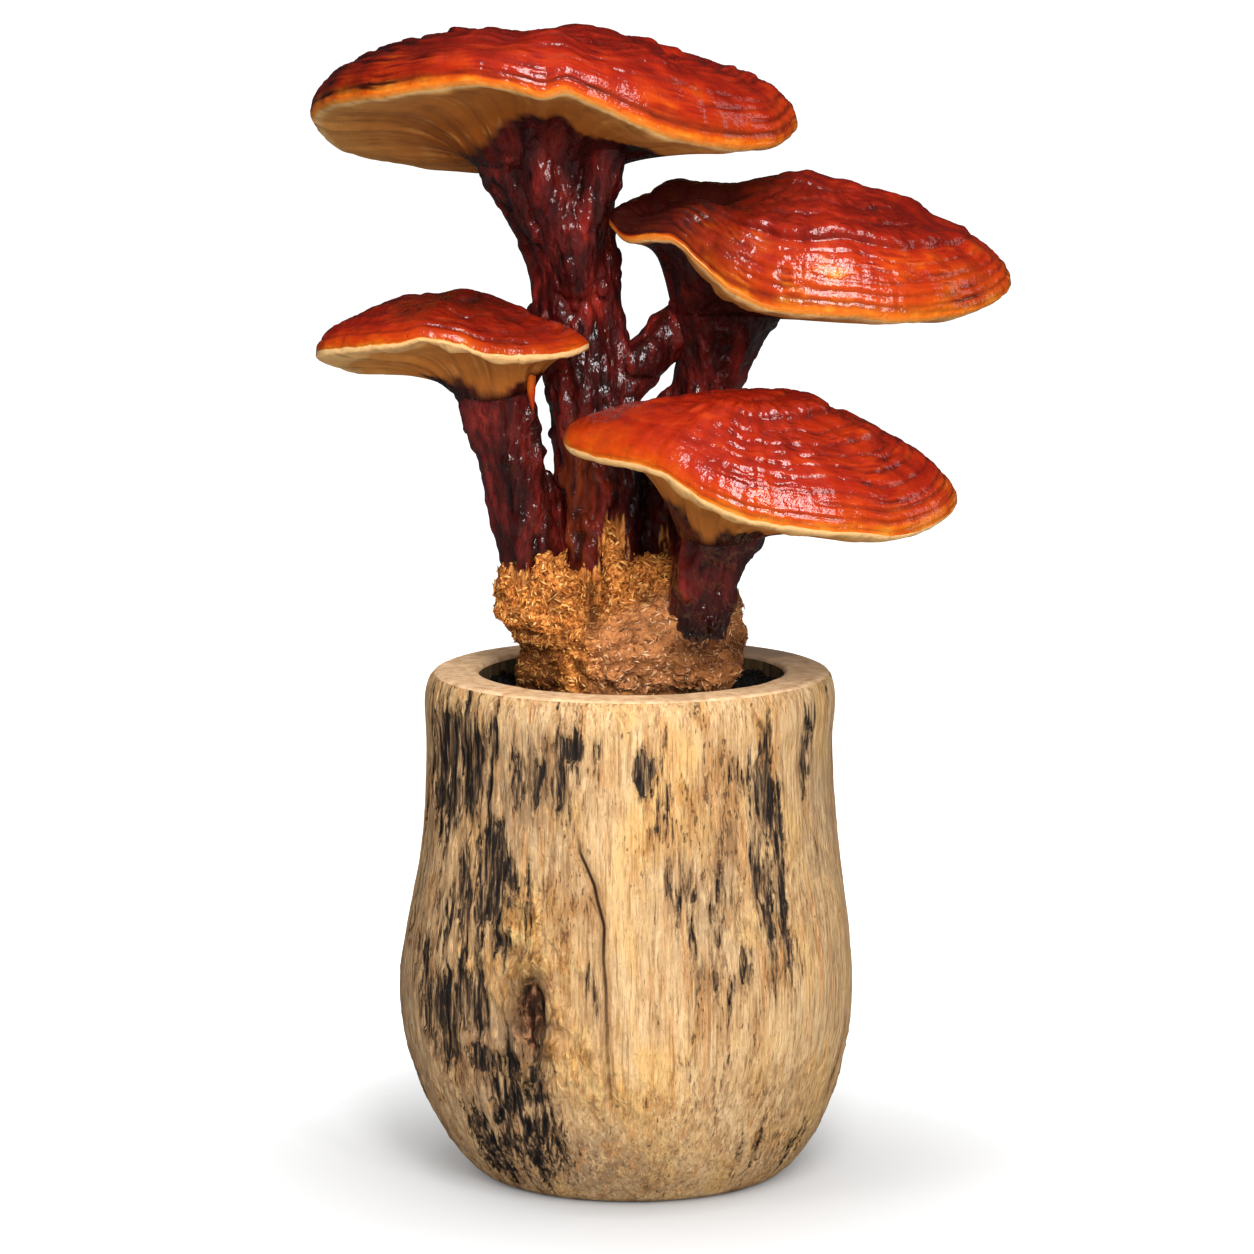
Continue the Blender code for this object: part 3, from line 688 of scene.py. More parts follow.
def log_wood():
    look = Look("log_wood", 0.65, specular=0.25)
    streak = look.speckle((320, 320, 21), 6.0, rough=0.66, warp=0.25)
    broad = look.speckle((42, 42, 17), 5.0, rough=0.6, warp=0.6)
    honey = look.speckle((30, 30, 14), warp=0.5)
    hair = look.speckle((560, 560, 16), 3.0)
    fleck = look.speckle((220, 220, 90), 5.0, rough=0.65, warp=0.5)
    pits = look.speckle((560, 560, 150), rough=0.6)
    micro = look.speckle((1000, 1000, 60), 3.0, rough=0.6)
    rust = look.speckle((190, 190, 9), rough=0.6)
    look.colour = look.ramp(
        streak,
        (0.30, 0.330, 0.175, 0.070),
        (0.42, 0.570, 0.345, 0.155),
        (0.53, 0.670, 0.430, 0.210),
        (0.68, 0.770, 0.520, 0.275),
    )
    look.tint(look.between(honey, 0.48, 0.66), (0.80, 0.47, 0.15), 0.55)
    look.tint(look.between(broad, 0.50, 0.68), (0.55, 0.36, 0.17), 0.80, "MULTIPLY")
    look.tint(look.between(broad, 0.46, 0.30), (0.80, 0.58, 0.32), 0.5)
    look.tint(look.stored("grey"), (0.23, 0.15, 0.09), look.between(fleck, 0.28, 0.58))
    look.tint(look.between(rust, 0.54, 0.66), (0.56, 0.25, 0.075), 0.55)
    ridge = look.times(look.stored("bark"), look.between(fleck, 0.40, 0.56))
    look.tint(ridge, (0.30, 0.145, 0.055), 0.75)
    look.tint(look.between(hair, 0.54, 0.66), (0.26, 0.120, 0.040), 0.60)
    look.tint(look.between(micro, 0.55, 0.72), (0.36, 0.18, 0.07), 0.50)
    look.tint(look.between(micro, 0.44, 0.30), (0.92, 0.68, 0.38), 0.40)
    pit = look.times(look.between(look.calc("MULTIPLY_ADD", broad, 0.8, pits), 1.05, 1.15), 0.80)
    look.tint(pit, (0.10, 0.045, 0.018))
    marks_over(look, fleck)
    char = char_over(look)
    depth = look.calc("SUBTRACT", streak, look.times(char, 0.35))
    strands = look.times(look.stored("fibre"), fleck)
    sunk = look.times(pit, -1.0)
    return look.finish((depth, 0.0020), (hair, 0.0014), (fleck, 0.0020), (strands, 0.0040), (sunk, 0.0006))


def marks_over(look, fleck):
    """Lays painted shade along the crack's groove and a painted dark line in its seam, torn fibres and the
    knot over the wood.
    """
    look.tint(look.stored("groove"), (0.26, 0.130, 0.055), 0.60)
    seam = look.calc("ABSOLUTE", look.calc("SUBTRACT", look.stored("crack"), 0.20))
    look.tint(look.between(seam, 0.13, 0.04), (0.035, 0.014, 0.006), look.stored("cracked"))
    look.tint(look.stored("fibre"), look.ramp(
        fleck, (0.36, 0.20, 0.07, 0.014), (0.46, 0.66, 0.29, 0.06), (0.60, 1.0, 0.66, 0.25),
    ))
    look.tint(look.stored("knot"), look.ramp(
        fleck, (0.36, 0.006, 0.003, 0.002), (0.52, 0.060, 0.020, 0.009), (0.66, 0.42, 0.20, 0.09),
    ))


def char_over(look):
    """Lays the black weathered patches with their brown fringe over the wood, and returns their share."""
    stroke = look.speckle((520, 520, 56), 5.0, rough=0.70, warp=0.3)
    char = look.calc("ADD", look.stored("char"), look.calc("MULTIPLY_ADD", stroke, 3.0, -1.5))
    look.tint(look.between(char, -0.45, 0.0), (0.22, 0.115, 0.050), 0.62)
    char = look.between(char, -0.06, 0.20)
    look.tint(char, look.ramp(
        look.speckle((330, 330, 26), 5.0, rough=0.62),
        (0.36, 0.006, 0.005, 0.005),
        (0.49, 0.028, 0.019, 0.014),
        (0.56, 0.150, 0.085, 0.042),
        (0.64, 0.500, 0.310, 0.150),
    ))
    return char


def rim_wood():
    look = Look("rim_wood", 0.6)
    grain = look.speckle((170, 170, 60), 5.0, rough=0.6)
    look.colour = look.ramp(
        grain, (0.30, 0.480, 0.270, 0.120), (0.50, 0.720, 0.460, 0.250), (0.70, 0.850, 0.600, 0.370),
    )
    look.tint(look.stored("grey"), (0.30, 0.20, 0.13))
    look.tint(look.between(look.speckle(900, 2.0), 0.62, 0.80), (0.30, 0.16, 0.08))
    return look.finish((grain, 0.0006))


def hollow_wood():
    look = Look("hollow_wood", 0.85)
    grain = look.speckle((200, 200, 30))
    look.colour = look.ramp(grain, (0.35, 0.030, 0.017, 0.006), (0.70, 0.110, 0.066, 0.026))
    return look.finish((grain, 0.001))


# Caps


def by_bearing(cap, rows):
    """The value at each side of a cap, from rows of bearing and value."""
    return smooth_rows(rows, np.degrees(cap.turn), 360)[:, 1]


def unrolled(heading, around, third):
    """Places for noise that go round with the heading, with a third coordinate across it."""
    space = heading * around
    space[:, 2] = third
    return space


def lumps_at(points, lumps):
    """The sum of round soft lumps of (x, y, radius, height)."""
    total = 0.0
    for x, y, wide, tall in lumps:
        total = total + tall * bell(np.hypot(1000 * points[..., 0] - x, 1000 * points[..., 1] - y) / wide)
    return total


def edge_round(share):
    """Half the thickness at a share of the reach, from 1 inside to 0 at the rounded edge."""
    return np.sqrt(np.maximum(1 - share**LIP_ROUND, 0))


def cap_outline(cap):
    """The directions round a cap, and its edge in each."""
    cap.crown, cap.lip, cap.hang = np.array(cap.crown) / 1000, cap.lip / 1000, cap.hang / 1000
    cap.turn = np.arange(cap.sides) / cap.sides * 2 * math.pi
    cap.heading = np.stack((np.cos(cap.turn), np.sin(cap.turn), np.zeros(cap.sides)), axis=1)
    _, reach, height = smooth_rows(cap.edge, np.degrees(cap.turn), 360).T / 1000
    wander = 0.008 * noise(cap.heading, 7.0, cap.seed) + 0.005 * noise(cap.heading, 19.0, cap.seed)
    wave = 0.0006 * noise(cap.heading, 9.0, cap.seed + 1) + 0.0004 * noise(cap.heading, 21.0, cap.seed + 2)
    cap.reach, cap.height = reach * (1 + wander), height + wave
    cap.edge_x, cap.edge_y = cap.crown[:2, None] + cap.heading[:, :2].T * cap.reach


def top_surface(cap, t):
    """The bare top at these shares of the reach, from the crown at 0 to the edge at 1."""
    t = t[:, None]
    x, y, z = cap.crown
    full = by_bearing(cap, [(90 * k, value) for k, value in enumerate(cap.fullness)])
    rise = full * (1 - t**DOME) ** (1 / by_bearing(cap, cap.bulge)) + (1 - full) * (1 - t**CONE)
    base = cap.height + cap.lip * edge_round(t)
    grid = np.stack((x + (cap.edge_x - x) * t, y + (cap.edge_y - y) * t, base + (z - base) * rise), axis=2)
    grid[..., 2] += lumps_at(grid, cap.lumps) / 1000
    return grid


def under_surface(cap, s):
    """The bare underside at these shares, from the edge at 1 to the stem at 0."""
    s = s[:, None]
    x, y, z, wide, deep = cap.neck
    from_x = x + (wide + 0.3 * cap.hang) * np.cos(cap.turn)
    from_y = y + (deep + 0.3 * cap.hang) * np.sin(cap.turn)
    apron = cap.hang * np.clip(np.cos(cap.turn - math.radians(262)), 0, 1) ** 2
    base = cap.height - cap.lip * edge_round(s)
    down = base + (z - base) * (1 - s) ** FUNNEL - apron * (1 - s) ** 12
    return np.stack((from_x + (cap.edge_x - from_x) * s, from_y + (cap.edge_y - from_y) * s, down), axis=2)


def top_shares(cap):
    """Shares of the reach for the top's rows: even along its curve, and closer near the edge."""
    dense = 1 - (1 - np.linspace(0.004, 1, 800)) ** 4
    run = np.linalg.norm(np.diff(top_surface(cap, dense)[:, ::10], axis=0), axis=2).mean(axis=1)
    run = np.concatenate(([0], np.cumsum(run))) / run.sum()
    rows = np.linspace(1 / CAP_TOP_STEPS, 1, CAP_TOP_STEPS)
    return np.interp(1 - (1 - rows) ** 1.25, run, dense)


def top_patterns(cap, t, grid):
    """The patterns that the top's relief and its colours share, with distances in millimetres."""
    seed = cap.seed
    out, side = np.repeat(t, cap.sides), np.tile(np.arange(cap.sides), len(t))
    heading, points = cap.heading[side], grid.reshape(-1, 3).copy()
    space = unrolled(heading, 1.0, out * 2.0)
    lines = by_bearing(cap, cap.lined)[side]
    climb = 1000 * (grid[..., 2] - cap.height).ravel()
    inward = np.hypot((1 - out) * cap.reach[side] * 1000, climb)
    ripples = unrolled(heading, 6.0, inward / 1.9)
    fine = 1.2 * noise(ripples, 1.0, seed + 6) + 0.5 * noise(ripples, 2.1, seed + 26)
    fine *= np.clip(0.65 + 0.9 * noise(space, 3.5, seed + 7), 0.15, 1.3) * smooth_step(0.15, 0.4, out) * lines
    lumpy = np.clip(0.6 + 1.2 * noise(points, 22.0, seed + 22) + 0.6 * (1 - lines), 0.1, 1.5)
    return SimpleNamespace(
        out=out, side=side, space=space, points=points, climb=climb, inward=inward, fine=fine,
        strength=lines * (0.75 + 0.45 * noise(space, 2.2, seed + 5)),
        crinkle=noise(unrolled(heading, 15.0, inward / 3.2), 1.0, seed + 8),
        folds=noise(unrolled(heading, 5.0, out * 3.0), 1.0, seed + 9),
        gnarls=layered(points, 30.0, 2, seed + 10),
        wrinkles=layered(points, 70.0, 2, seed + 11),
        pimples=layered(points, 190.0, 2, seed + 23) * lumpy * smooth_step(1.0, 6.0, inward),
    )


def growth_zones(cap, top):
    """The share across its growth zone of each point, and the zone's step and tone."""
    drift = 0.30 * noise(top.space, 1.3, cap.seed) + 0.10 * noise(top.space, 4.0, cap.seed + 3)
    warped = top.out + top.out * (1 - top.out) * drift
    ends, steps, tones = np.array(cap.rings).T
    starts = np.concatenate(([0.0], ends[:-1]))
    zone = np.clip(np.searchsorted(ends, warped), 0, len(ends) - 1)
    across = np.clip((warped - starts[zone]) / (ends[zone] - starts[zone]), 0, 1)
    return across, steps[zone], tones[zone]


def grooves_at(cap, top):
    """Depth and darkness of the grooves that follow the rim; the darkness is partly a dark line and partly
    painted shade in the groove.
    """
    turn = np.degrees(cap.turn)[top.side]
    wander = 1 + 0.14 * noise(top.space, 2.5, cap.seed + 21)
    depth = darkness = 0.0
    for inset, deep, begin, end, dark in cap.grooves:
        along = (turn - begin) % 360 / ((end - begin) % 360)
        here = smooth_step(0, 0.2, along) * smooth_step(1.0, 0.8, along)
        here *= bell((top.inward - inset * wander) / 1.1)
        depth = depth + deep / 1000 * here
        darkness = darkness + dark * here
    return depth, darkness


def top_relief(cap, top, across, step):
    """How far the top stands out: growth zones that rise outwards and end in a step, and wrinkles."""
    inner = 1 - smooth_step(0.85, 1.0, top.out)
    relief = 0.0015 * step * top.strength * across * (1 - across**7)
    relief += 0.00030 * top.fine + 0.00026 * top.pimples
    relief += 0.00024 * top.crinkle * smooth_step(0.05, 0.25, top.out) * (0.4 + 0.6 * inner)
    relief += 0.0011 * cap.gnarl * top.folds * smooth_step(0.1, 0.4, top.out) * inner
    relief += 0.0014 * cap.gnarl * top.gnarls * (1 - smooth_step(0.50, 0.95, top.out))
    return relief + 0.0006 * top.wrinkles * (1 - smooth_step(0.80, 1.0, top.out))


def top_tone(cap, top, inner):
    """How light the lacquer is: the zone's tone inside, orange near the rim and golden at it."""
    seed = cap.seed
    band = by_bearing(cap, cap.orange)[top.side] * (1 + 0.35 * noise(top.space, 4.0, seed + 14))
    stops, tones = (0.0, 0.15, 0.45, 0.9, 1.5, 2.6), (0.900, 0.885, 0.850, 0.79, 0.70, 0.3)
    inner = inner + 0.10 * noise(top.space, 6.0, seed + 17)
    inner += 0.07 * noise(top.points, 45.0, seed + 24) + 0.05 * noise(top.points, 110.0, seed + 28)
    tone = np.maximum(inner, np.interp(top.inward / band, stops, tones))
    gold = by_bearing(cap, cap.gold)[top.side]
    ragged = top.inward + 0.6 * noise(top.space, 7.0, seed + 27)
    return tone + (0.925 - tone) * smooth_step(1.15 * gold + 0.5, 0.5 * gold, ragged)


def top_darkness_and_shade(cap, top, across, grooved):
    """Where the lacquer is dark: dark lines in creases and grooves, partly painted shade, painted shade in
    hollows, and dark places, but little at the rim.
    """
    # Dark lines at the steps between growth zones, partly the lacquer's colour and partly painted shade in
    # the creases; the dips of the finer relief get painted shade.
    crease = bell((1 - across) / 0.10) + 0.7 * bell(across / 0.08)
    dark = 0.38 * crease * top.strength * smooth_step(0.02, 0.1, 1 - top.out) + grooved
    dark += 0.15 * np.clip(-top.crinkle, 0, 1) + 0.45 * np.clip(-top.fine - 0.15, 0, 1)
    dark += 0.22 * np.clip(-top.gnarls - 0.1, 0, 1) + 0.20 * np.clip(-top.pimples - 0.2, 0, 1)
    dark += lumps_at(top.points, cap.dark)
    rim_line = bell((edge_round(top.out) - 0.17) / 0.07) * (top.out > 0.97)
    near_rim = smooth_step(3.0, 0.8, top.inward) * np.where(dark > 0.9, 0.75, 1.0)
    return np.clip(dark * (1 - near_rim) + 0.30 * rim_line, 0, 0.97)


def cap_top(cap):
    """The top's grid from the crown to the edge, and its values, each with the one for the underside."""
    t = top_shares(cap)
    grid = top_surface(cap, t)
    grid[..., 2] += lumps_at(grid, cap.swells) / 1000 * (1 - t**10)[:, None]
    top = top_patterns(cap, t, grid)
    across, step, zone_tone = growth_zones(cap, top)
    groove, grooved = grooves_at(cap, top)
    relief = (top_relief(cap, top, across, step) - groove) * smooth_step(0.2, 1.8, top.inward)
    grid += grid_normals(grid) * relief.reshape(len(t), cap.sides, 1)
    tone = top_tone(cap, top, zone_tone + 0.06 * (across - 0.5) + 0.08 * top.fine)
    pale_to = by_bearing(cap, cap.pale)[top.side]
    pale = smooth_step(pale_to + 0.3, pale_to - 0.3, top.climb + 0.25 * noise(top.space, 9.0, cap.seed + 19))
    return grid, dict(tone=(tone, 1), dark=(top_darkness_and_shade(cap, top, across, grooved), 0), pale=(pale, 0))


def cap_under(cap):
    """The underside's grid from the edge to the stem, and its values, each with those at both ends.

    It is nearly flat, finely streaked outwards, and funnels down into the stem.
    """
    seed, s = cap.seed, 1 - np.linspace(1 / CAP_UNDER_STEPS, 1, CAP_UNDER_STEPS) ** 1.35
    grid, out = under_surface(cap, s), np.repeat(s, cap.sides)
    heading = np.tile(cap.heading, (len(s), 1))
    streaks = unrolled(heading, 16.0, out * 1.5)
    streak = 0.5 + 0.5 * layered(streaks, 1.0, 2, seed + 12)
    sag = 0.0030 * noise(unrolled(heading, 4.0, out * 1.2), 1.0, seed + 13)
    sag += 0.0016 * noise(streaks, 0.4, seed + 18) + 0.0005 * (streak - 0.5)
    sag *= smooth_step(0.0, 0.15, 1 - out) * smooth_step(0.0, 0.1, out)
    grid += grid_normals(grid) * sag.reshape(len(s), cap.sides, 1)
    streak += 0.30 * noise(unrolled(heading, 0.8, out * 13.0), 1.0, seed + 25)
    cream_from, cream_to, deepest = cap.cream
    at_rim = 0.0 if cream_from else 0.035
    depth = np.interp(1 - out, (0, cream_from + 1e-6, cream_to, 1), (at_rim, 0.035, 0.06, deepest))
    past = out - np.tile(by_bearing(cap, cap.collar), len(s))
    past += 0.05 * noise(streaks, 0.22, seed + 15) + 0.02 * (streak - 0.5)
    lacquer = 1 - smooth_step(0.0, 0.05, past)
    return grid, dict(depth=(at_rim, depth, 1), streak=(0.3, streak, 0.3), lacquer=(0, lacquer, 1))


def cap_piece(name, materials):
    """A closed cap, whose top and underside meet at the edge, each with its own material."""
    cap = SimpleNamespace(**CAPS[name])
    cap_outline(cap)
    top, top_values = cap_top(cap)
    under, under_values = cap_under(cap)
    mesh = ringed_mesh(name, np.concatenate((top, under)), top[0].mean(axis=0), cap.neck[:3])
    below = np.arange(len(top) + len(under) - 1) >= len(top) - 1
    kind = np.concatenate((np.repeat(below, cap.sides), np.zeros(cap.sides), np.ones(cap.sides)))
    mesh.polygons.foreach_set("material_index", kind.astype(np.int32))
    for key, (values, rest) in top_values.items():
        values = np.concatenate((values, np.full(under[..., 0].size, rest), [values[0], rest]))
        give_values(mesh, **{key: values})
    for key, (rest, values, foot) in under_values.items():
        values = np.concatenate((np.full(top[..., 0].size, rest), values, [rest, foot]))
        give_values(mesh, **{key: values})
    return add_piece("reishi_" + name, mesh, materials, name)


DRIP_VOXEL = 0.0007


def drip(material):
    """A small orange drip of growth that hangs from the left cap, down its stem."""
    path = ((-55, -30, 453, 4), (-54.6, -32.5, 443, 3.2), (-54, -32.5, 435, 2.2), (-53.4, -32, 427, 0.9))
    mesh = fused_mesh("drip", chain(path, step=0.0012), DRIP_VOXEL)
    points = points_of(mesh)
    tone = 0.87 - 6.0 * (0.445 - points[:, 2]) + 0.05 * noise(points, (400, 400, 60), 77)
    give_values(mesh, tone=tone, dark=np.zeros(len(points)), pale=np.zeros(len(points)))
    add_piece("reishi_drip", mesh, (material,))


# Stems

STEM_VOXEL = 0.0014


def beside(section, angle, inset):
    """The point at an angle round a section, this far inside its outline."""
    x, y, wide, deep = section
    return x + (wide - inset) * math.cos(angle), y + (deep - inset) * math.sin(angle)


def stem_beads(sections, low, high, ropes, thickness, knobs):
    """Beads for a core, for ropes of flesh that wander up round it, and for knobs."""
    beads = []
    bearings = (np.arange(ropes) + RANDOM.uniform(-0.25, 0.25, ropes)) * 360 / ropes
    phases = RANDOM.uniform(0, 2 * math.pi, (ropes, 3))
    sizes = thickness * RANDOM.uniform(0.75, 1.25, ropes)
    for z in np.arange(low, high + 0.002, 0.0035):
        section = section_at(sections, z)
        x, y, wide, deep = section
        full = 0.86 + 0.12 * float(smooth_step(high - 0.025, high - 0.005, z))
        beads.append((x, y, z, wide * full, deep * full, 0.010))
        for bearing, phase, size in zip(bearings, phases, sizes):
            angle = math.radians(bearing + 14 * math.sin(34 * z + phase[0]) + 8 * math.sin(71 * z + phase[1]))
            size *= 1 + 0.20 * math.sin(85 * z + phase[2]) + 0.10 * math.sin(190 * z + phase[0])
            beads.append((*beside(section, angle, size), z, size, size, size))
    for _ in range(knobs):
        z = RANDOM.uniform(low, high)
        angle = RANDOM.uniform(0, 2 * math.pi)
        size = RANDOM.uniform(0.0025, 0.0055)
        place = beside(section_at(sections, z), angle, size * 0.6)
        beads.append((*place, z, size, size, size * RANDOM.uniform(1.0, 1.8)))
    return beads


def flare_beads(sections, spread, climb):
    """Flat beads that follow a stem's top and widen above it, round the neck of its cap."""
    top = sections[-1][2]
    beads = []
    for rise in np.arange(-0.008, climb, 0.002):
        x, y, wide, deep = section_at(sections, min(top, top + rise))
        out = 0.0006 + spread * max(rise, 0)
        beads.append((x, y, top + rise, wide + out, deep + out, 0.004))
    return beads


def strongest(points, places):
    """The strongest of several soft ovals of (x, z, half width, half height, amount)."""
    most = np.zeros(len(points))
    for x, z, wide, tall, amount in places:
        away = np.hypot((1000 * points[:, 0] - x) / wide, (1000 * points[:, 2] - z) / tall)
        most = np.maximum(most, amount * bell(away))
    return most


def stem_piece(name, beads, material, foot, seed, bare=(), amber=(), shadow=None, cap_shade_height=1.0):
    """A lacquered stem, worn below a ragged height and in bare places, with amber streaks in front.

    Painted shade darkens its hollows and its top under the cap. Its shadow, as (x, half width, height it ends
    at), is painted shade below that height near that x, in the cleft between the stems or at the foot by the
    block.
    """
    mesh = fused_mesh(name, beads, STEM_VOXEL)
    points = points_of(mesh)
    coarse = noise(points, (75, 75, 45), seed)
    flutes = layered(points, (150, 150, 16), 2, seed + 6)
    knobbly = np.clip(noise(points, (150, 150, 100), seed + 1), 0, 1) ** 1.3
    wrinkles = noise(points, (250, 250, 130), seed + 2)
    points = push_out(mesh, 0.0008 * coarse + 0.0011 * flutes + 0.0014 * knobbly + 0.0009 * wrinkles)
    ragged = 0.006 * noise(points, (90, 90, 8), seed + 3) + 0.004 * noise(points, (240, 240, 40), seed + 4)
    worn = 1 - smooth_step(-0.006, 0.006, points[:, 2] - foot - ragged)
    worn = np.maximum(worn, strongest(points, bare) * (1 + 0.5 * flutes))
    # Painted shade in the hollows between the flutes and wrinkles.
    dark = np.clip(-0.9 * flutes - 0.7 * wrinkles - 0.3 * coarse, 0, 0.93)
    # Painted shadow below the given height near the given x.
    if shadow:
        middle, wide, top = np.array(shadow) / 1000
        here = bell((points[:, 0] - middle) / wide) * smooth_step(top, top - 0.02, points[:, 2])
        dark = np.maximum(dark, 0.97 * here)
    # Painted shade on the top of the stem, under its cap.
    dark = np.maximum(dark, 0.55 * smooth_step(cap_shade_height - 0.03, cap_shade_height, points[:, 2]))
    glow = strongest(points, amber) * smooth_step(0.004, -0.006, points[:, 1])
    glow = np.clip(glow * (1 + 0.8 * flutes + 0.5 * wrinkles), 0, 1)
    give_values(mesh, dark=dark * (1 - 0.5 * glow), worn=worn, amber=glow)
    return add_piece("reishi_" + name, mesh, (material,), name)


def stems():
    lacquer = stem_lacquer()
    tall = stem_beads(STEM_TALL, 0.320, 0.556, ropes=10, thickness=0.0066, knobs=70)
    tall += chain(((-30, -13, 492, 9), (-37, -17, 524, 11.5), (-46, -19, 548, 11.5), (-52, -24, 568, 9),
                   (-54, -34, 580, 5)))
    tall += chain(((-30, -13, 492, 9), (-24, -16, 528, 11), (-17, -17, 550, 11), (-10, -22, 568, 9),
                   (-5, -32, 578, 5)))
    tall += flare_beads(STEM_TALL, 0.60, 0.008)
    tall += chain(((-36, -16, 535, 8), (-34, -20, 560, 8), (-30, -28, 576, 5)))
    tall = stem_piece(
        "stem_tall", tall, lacquer, 0.338, 21, bare=((-10, 352, 8, 22, 0.90), (-33, 420, 2.5, 12, 0.45)),
        amber=((-28, 385, 12, 20, 0.60), (-36, 358, 10, 18, 0.50)), shadow=(6, 5, 430), cap_shade_height=0.570,
    )
    left = stem_beads(STEM_LEFT, 0.318, 0.441, ropes=7, thickness=0.0062, knobs=20)
    left += chain(((-42, -10, 325, 10), (-44, -8, 350, 9), (-45, -6, 372, 7), (-47, -8, 388, 4)))
    left = stem_piece("stem_left", left, lacquer, 0.338, 31)
    right = stem_beads(STEM_RIGHT, 0.310, 0.481, ropes=7, thickness=0.0064, knobs=22)
    right += flare_beads(STEM_RIGHT, 0.50, 0.007)
    right += chain(((8, 16, 330, 15), (10, 18, 372, 14), (14, 18, 412, 11), (22, 17, 426, 8)))
    right = stem_piece(
        "stem_right", right, lacquer, 0.332, 41, bare=((21, 350, 7, 14, 0.60),), shadow=(6, 10, 440),
        cap_shade_height=0.465,
    )
    front = stem_beads(STEM_FRONT, 0.300, 0.366, ropes=7, thickness=0.0060, knobs=14)
    front += chain(((40, -30, 330, 16), (36, -8, 352, 15), (34, 12, 372, 14)))
    front = stem_piece("stem_front", front, lacquer, 0.304, 51, shadow=(34, 30, 327), cap_shade_height=0.355)
    fork = chain(((-8, 6, 436, 15), (6, 8, 449, 13.5), (18, 10, 461, 13.5), (34, 12, 474, 14)))
    fork += chain(((4, -4, 449, 9), (10, -2, 455, 9)))
    stem_piece("stem_fork", fork, lacquer, 0.3, 61)
    return tall, left, right, front


# Block of chips, with its lumps as (x, y, z, and half sizes along x, y and z)

BLOCK_VOXEL = 0.0017
FLAKES = 7500
CREASE_X = -0.0215
BLOCK_LOBES = metres((
    (-44, -17, 310, 25, 26, 22), (0, -34, 296, 40, 26, 26), (20, -34, 304, 26, 22, 24),
    (36, -34, 288, 25, 30, 16), (42, -6, 300, 20, 30, 36), (-66, -2, 323.5, 10, 13, 9),
    (-44, -10, 280, 20, 26, 30), (-20, 30, 322, 34, 22, 30), (28, 24, 318, 26, 22, 28),
    (-58, 8, 322, 18, 20, 22),
))
# Tongues of chips that run up the stems' feet, as a path of (x, y, z, thickness)
BLOCK_TONGUES = (
    ((-64, -8, 314, 12), (-66, -12, 330, 8), (-67, -13, 343, 3)),
    ((-45, -24, 312, 16), (-46, -25, 330, 11), (-47, -23, 343, 6), (-47, -21, 352, 3)),
    ((-34, -22, 316, 10), (-36, -22, 334, 6), (-37, -20, 346, 3)),
    ((-6, -26, 314, 14), (-7, -26, 330, 11), (-11, -23, 348, 6), (-13, -20, 364, 2.5)),
    ((6, -18, 322, 10), (6, -15, 334, 6), (5, -13, 342, 3)),
    ((18, -30, 312, 10), (21, -30, 326, 5), (25, -29, 338, 2)),
    ((46, 4, 320, 14), (46, 10, 340, 8), (44, 12, 352, 3)),
    ((-30, 30, 325, 16), (-28, 30, 345, 10), (-26, 28, 362, 4)),
    ((5, 32, 325, 15), (2, 28, 345, 10), (0, 26, 360, 4)),
    ((-62, 8, 325, 13), (-62, 4, 342, 8), (-63, 0, 352, 3)),
)


def block_beads():
    beads = list(BLOCK_LOBES)
    for tongue in BLOCK_TONGUES:
        beads += chain(tongue, step=0.0025)
    for z in np.arange(0.240, 0.338, 0.004):
        x, y, wide, deep = section_at(BASE, z)
        high = float(smooth_step(0.300, 0.318, z))
        wide, deep = wide * (0.93 - 0.05 * high), deep * (0.93 - 0.22 * high)
        beads.append((x, y + 0.008 * high, z, wide, deep, 0.010))
    return beads


def block_creases(points):
    """Narrow winding valleys between the lumps of chips."""
    return bell(layered(points, 52.0, 2, 73) / 0.13)


def block_ledge(points):
    """The shadowed step under the left lump."""
    wander = 0.004 * noise(points, 60.0, 74)
    step = bell((points[:, 2] - 0.305 - wander) / 0.0035)
    return step * smooth_step(-0.040, -0.056, points[:, 0]) * smooth_step(0.01, -0.01, points[:, 1])


def block_tint_and_shade(points):
    """How pink and how dark the chips are, by place; the darkness is mostly painted shade."""
    x, y, z = points.T
    front = smooth_step(0, -0.02, y)
    pink = smooth_step(-0.032, -0.012, x) * smooth_step(0.008, -0.004, z - 0.318 - 0.40 * x)
    shade = smooth_step(0.010, 0.026, x) * smooth_step(0.310, 0.300, z) * smooth_step(0.280, 0.292, z)
    foot = bell(np.hypot((x - 0.034) / 0.020, (z - 0.300) / 0.012)) * smooth_step(-0.03, -0.045, y)
    # Painted shade in the crevices, on the step under the left lump, along the crack between the lumps, round
    # the front stem's foot and on the right side; darker too at the lower left and at the bottom.
    dark = np.max((
        smooth_step(-0.028, -0.046, x) * smooth_step(0.310, 0.296, z),
        0.35 * smooth_step(0.036, 0.052, x),
        0.70 * smooth_step(0.280, 0.268, z),
        0.80 * shade * front,
        0.95 * foot,
        0.55 * block_creases(points),
        0.90 * block_ledge(points),
        0.90 * bell((x - CREASE_X) / 0.004) * smooth_step(0.300, 0.312, z) * front,
    ), axis=0)
    return pink * smooth_step(0.01, -0.01, y), np.clip(dark + 0.30 * noise(points, 60, 71), 0, 1)


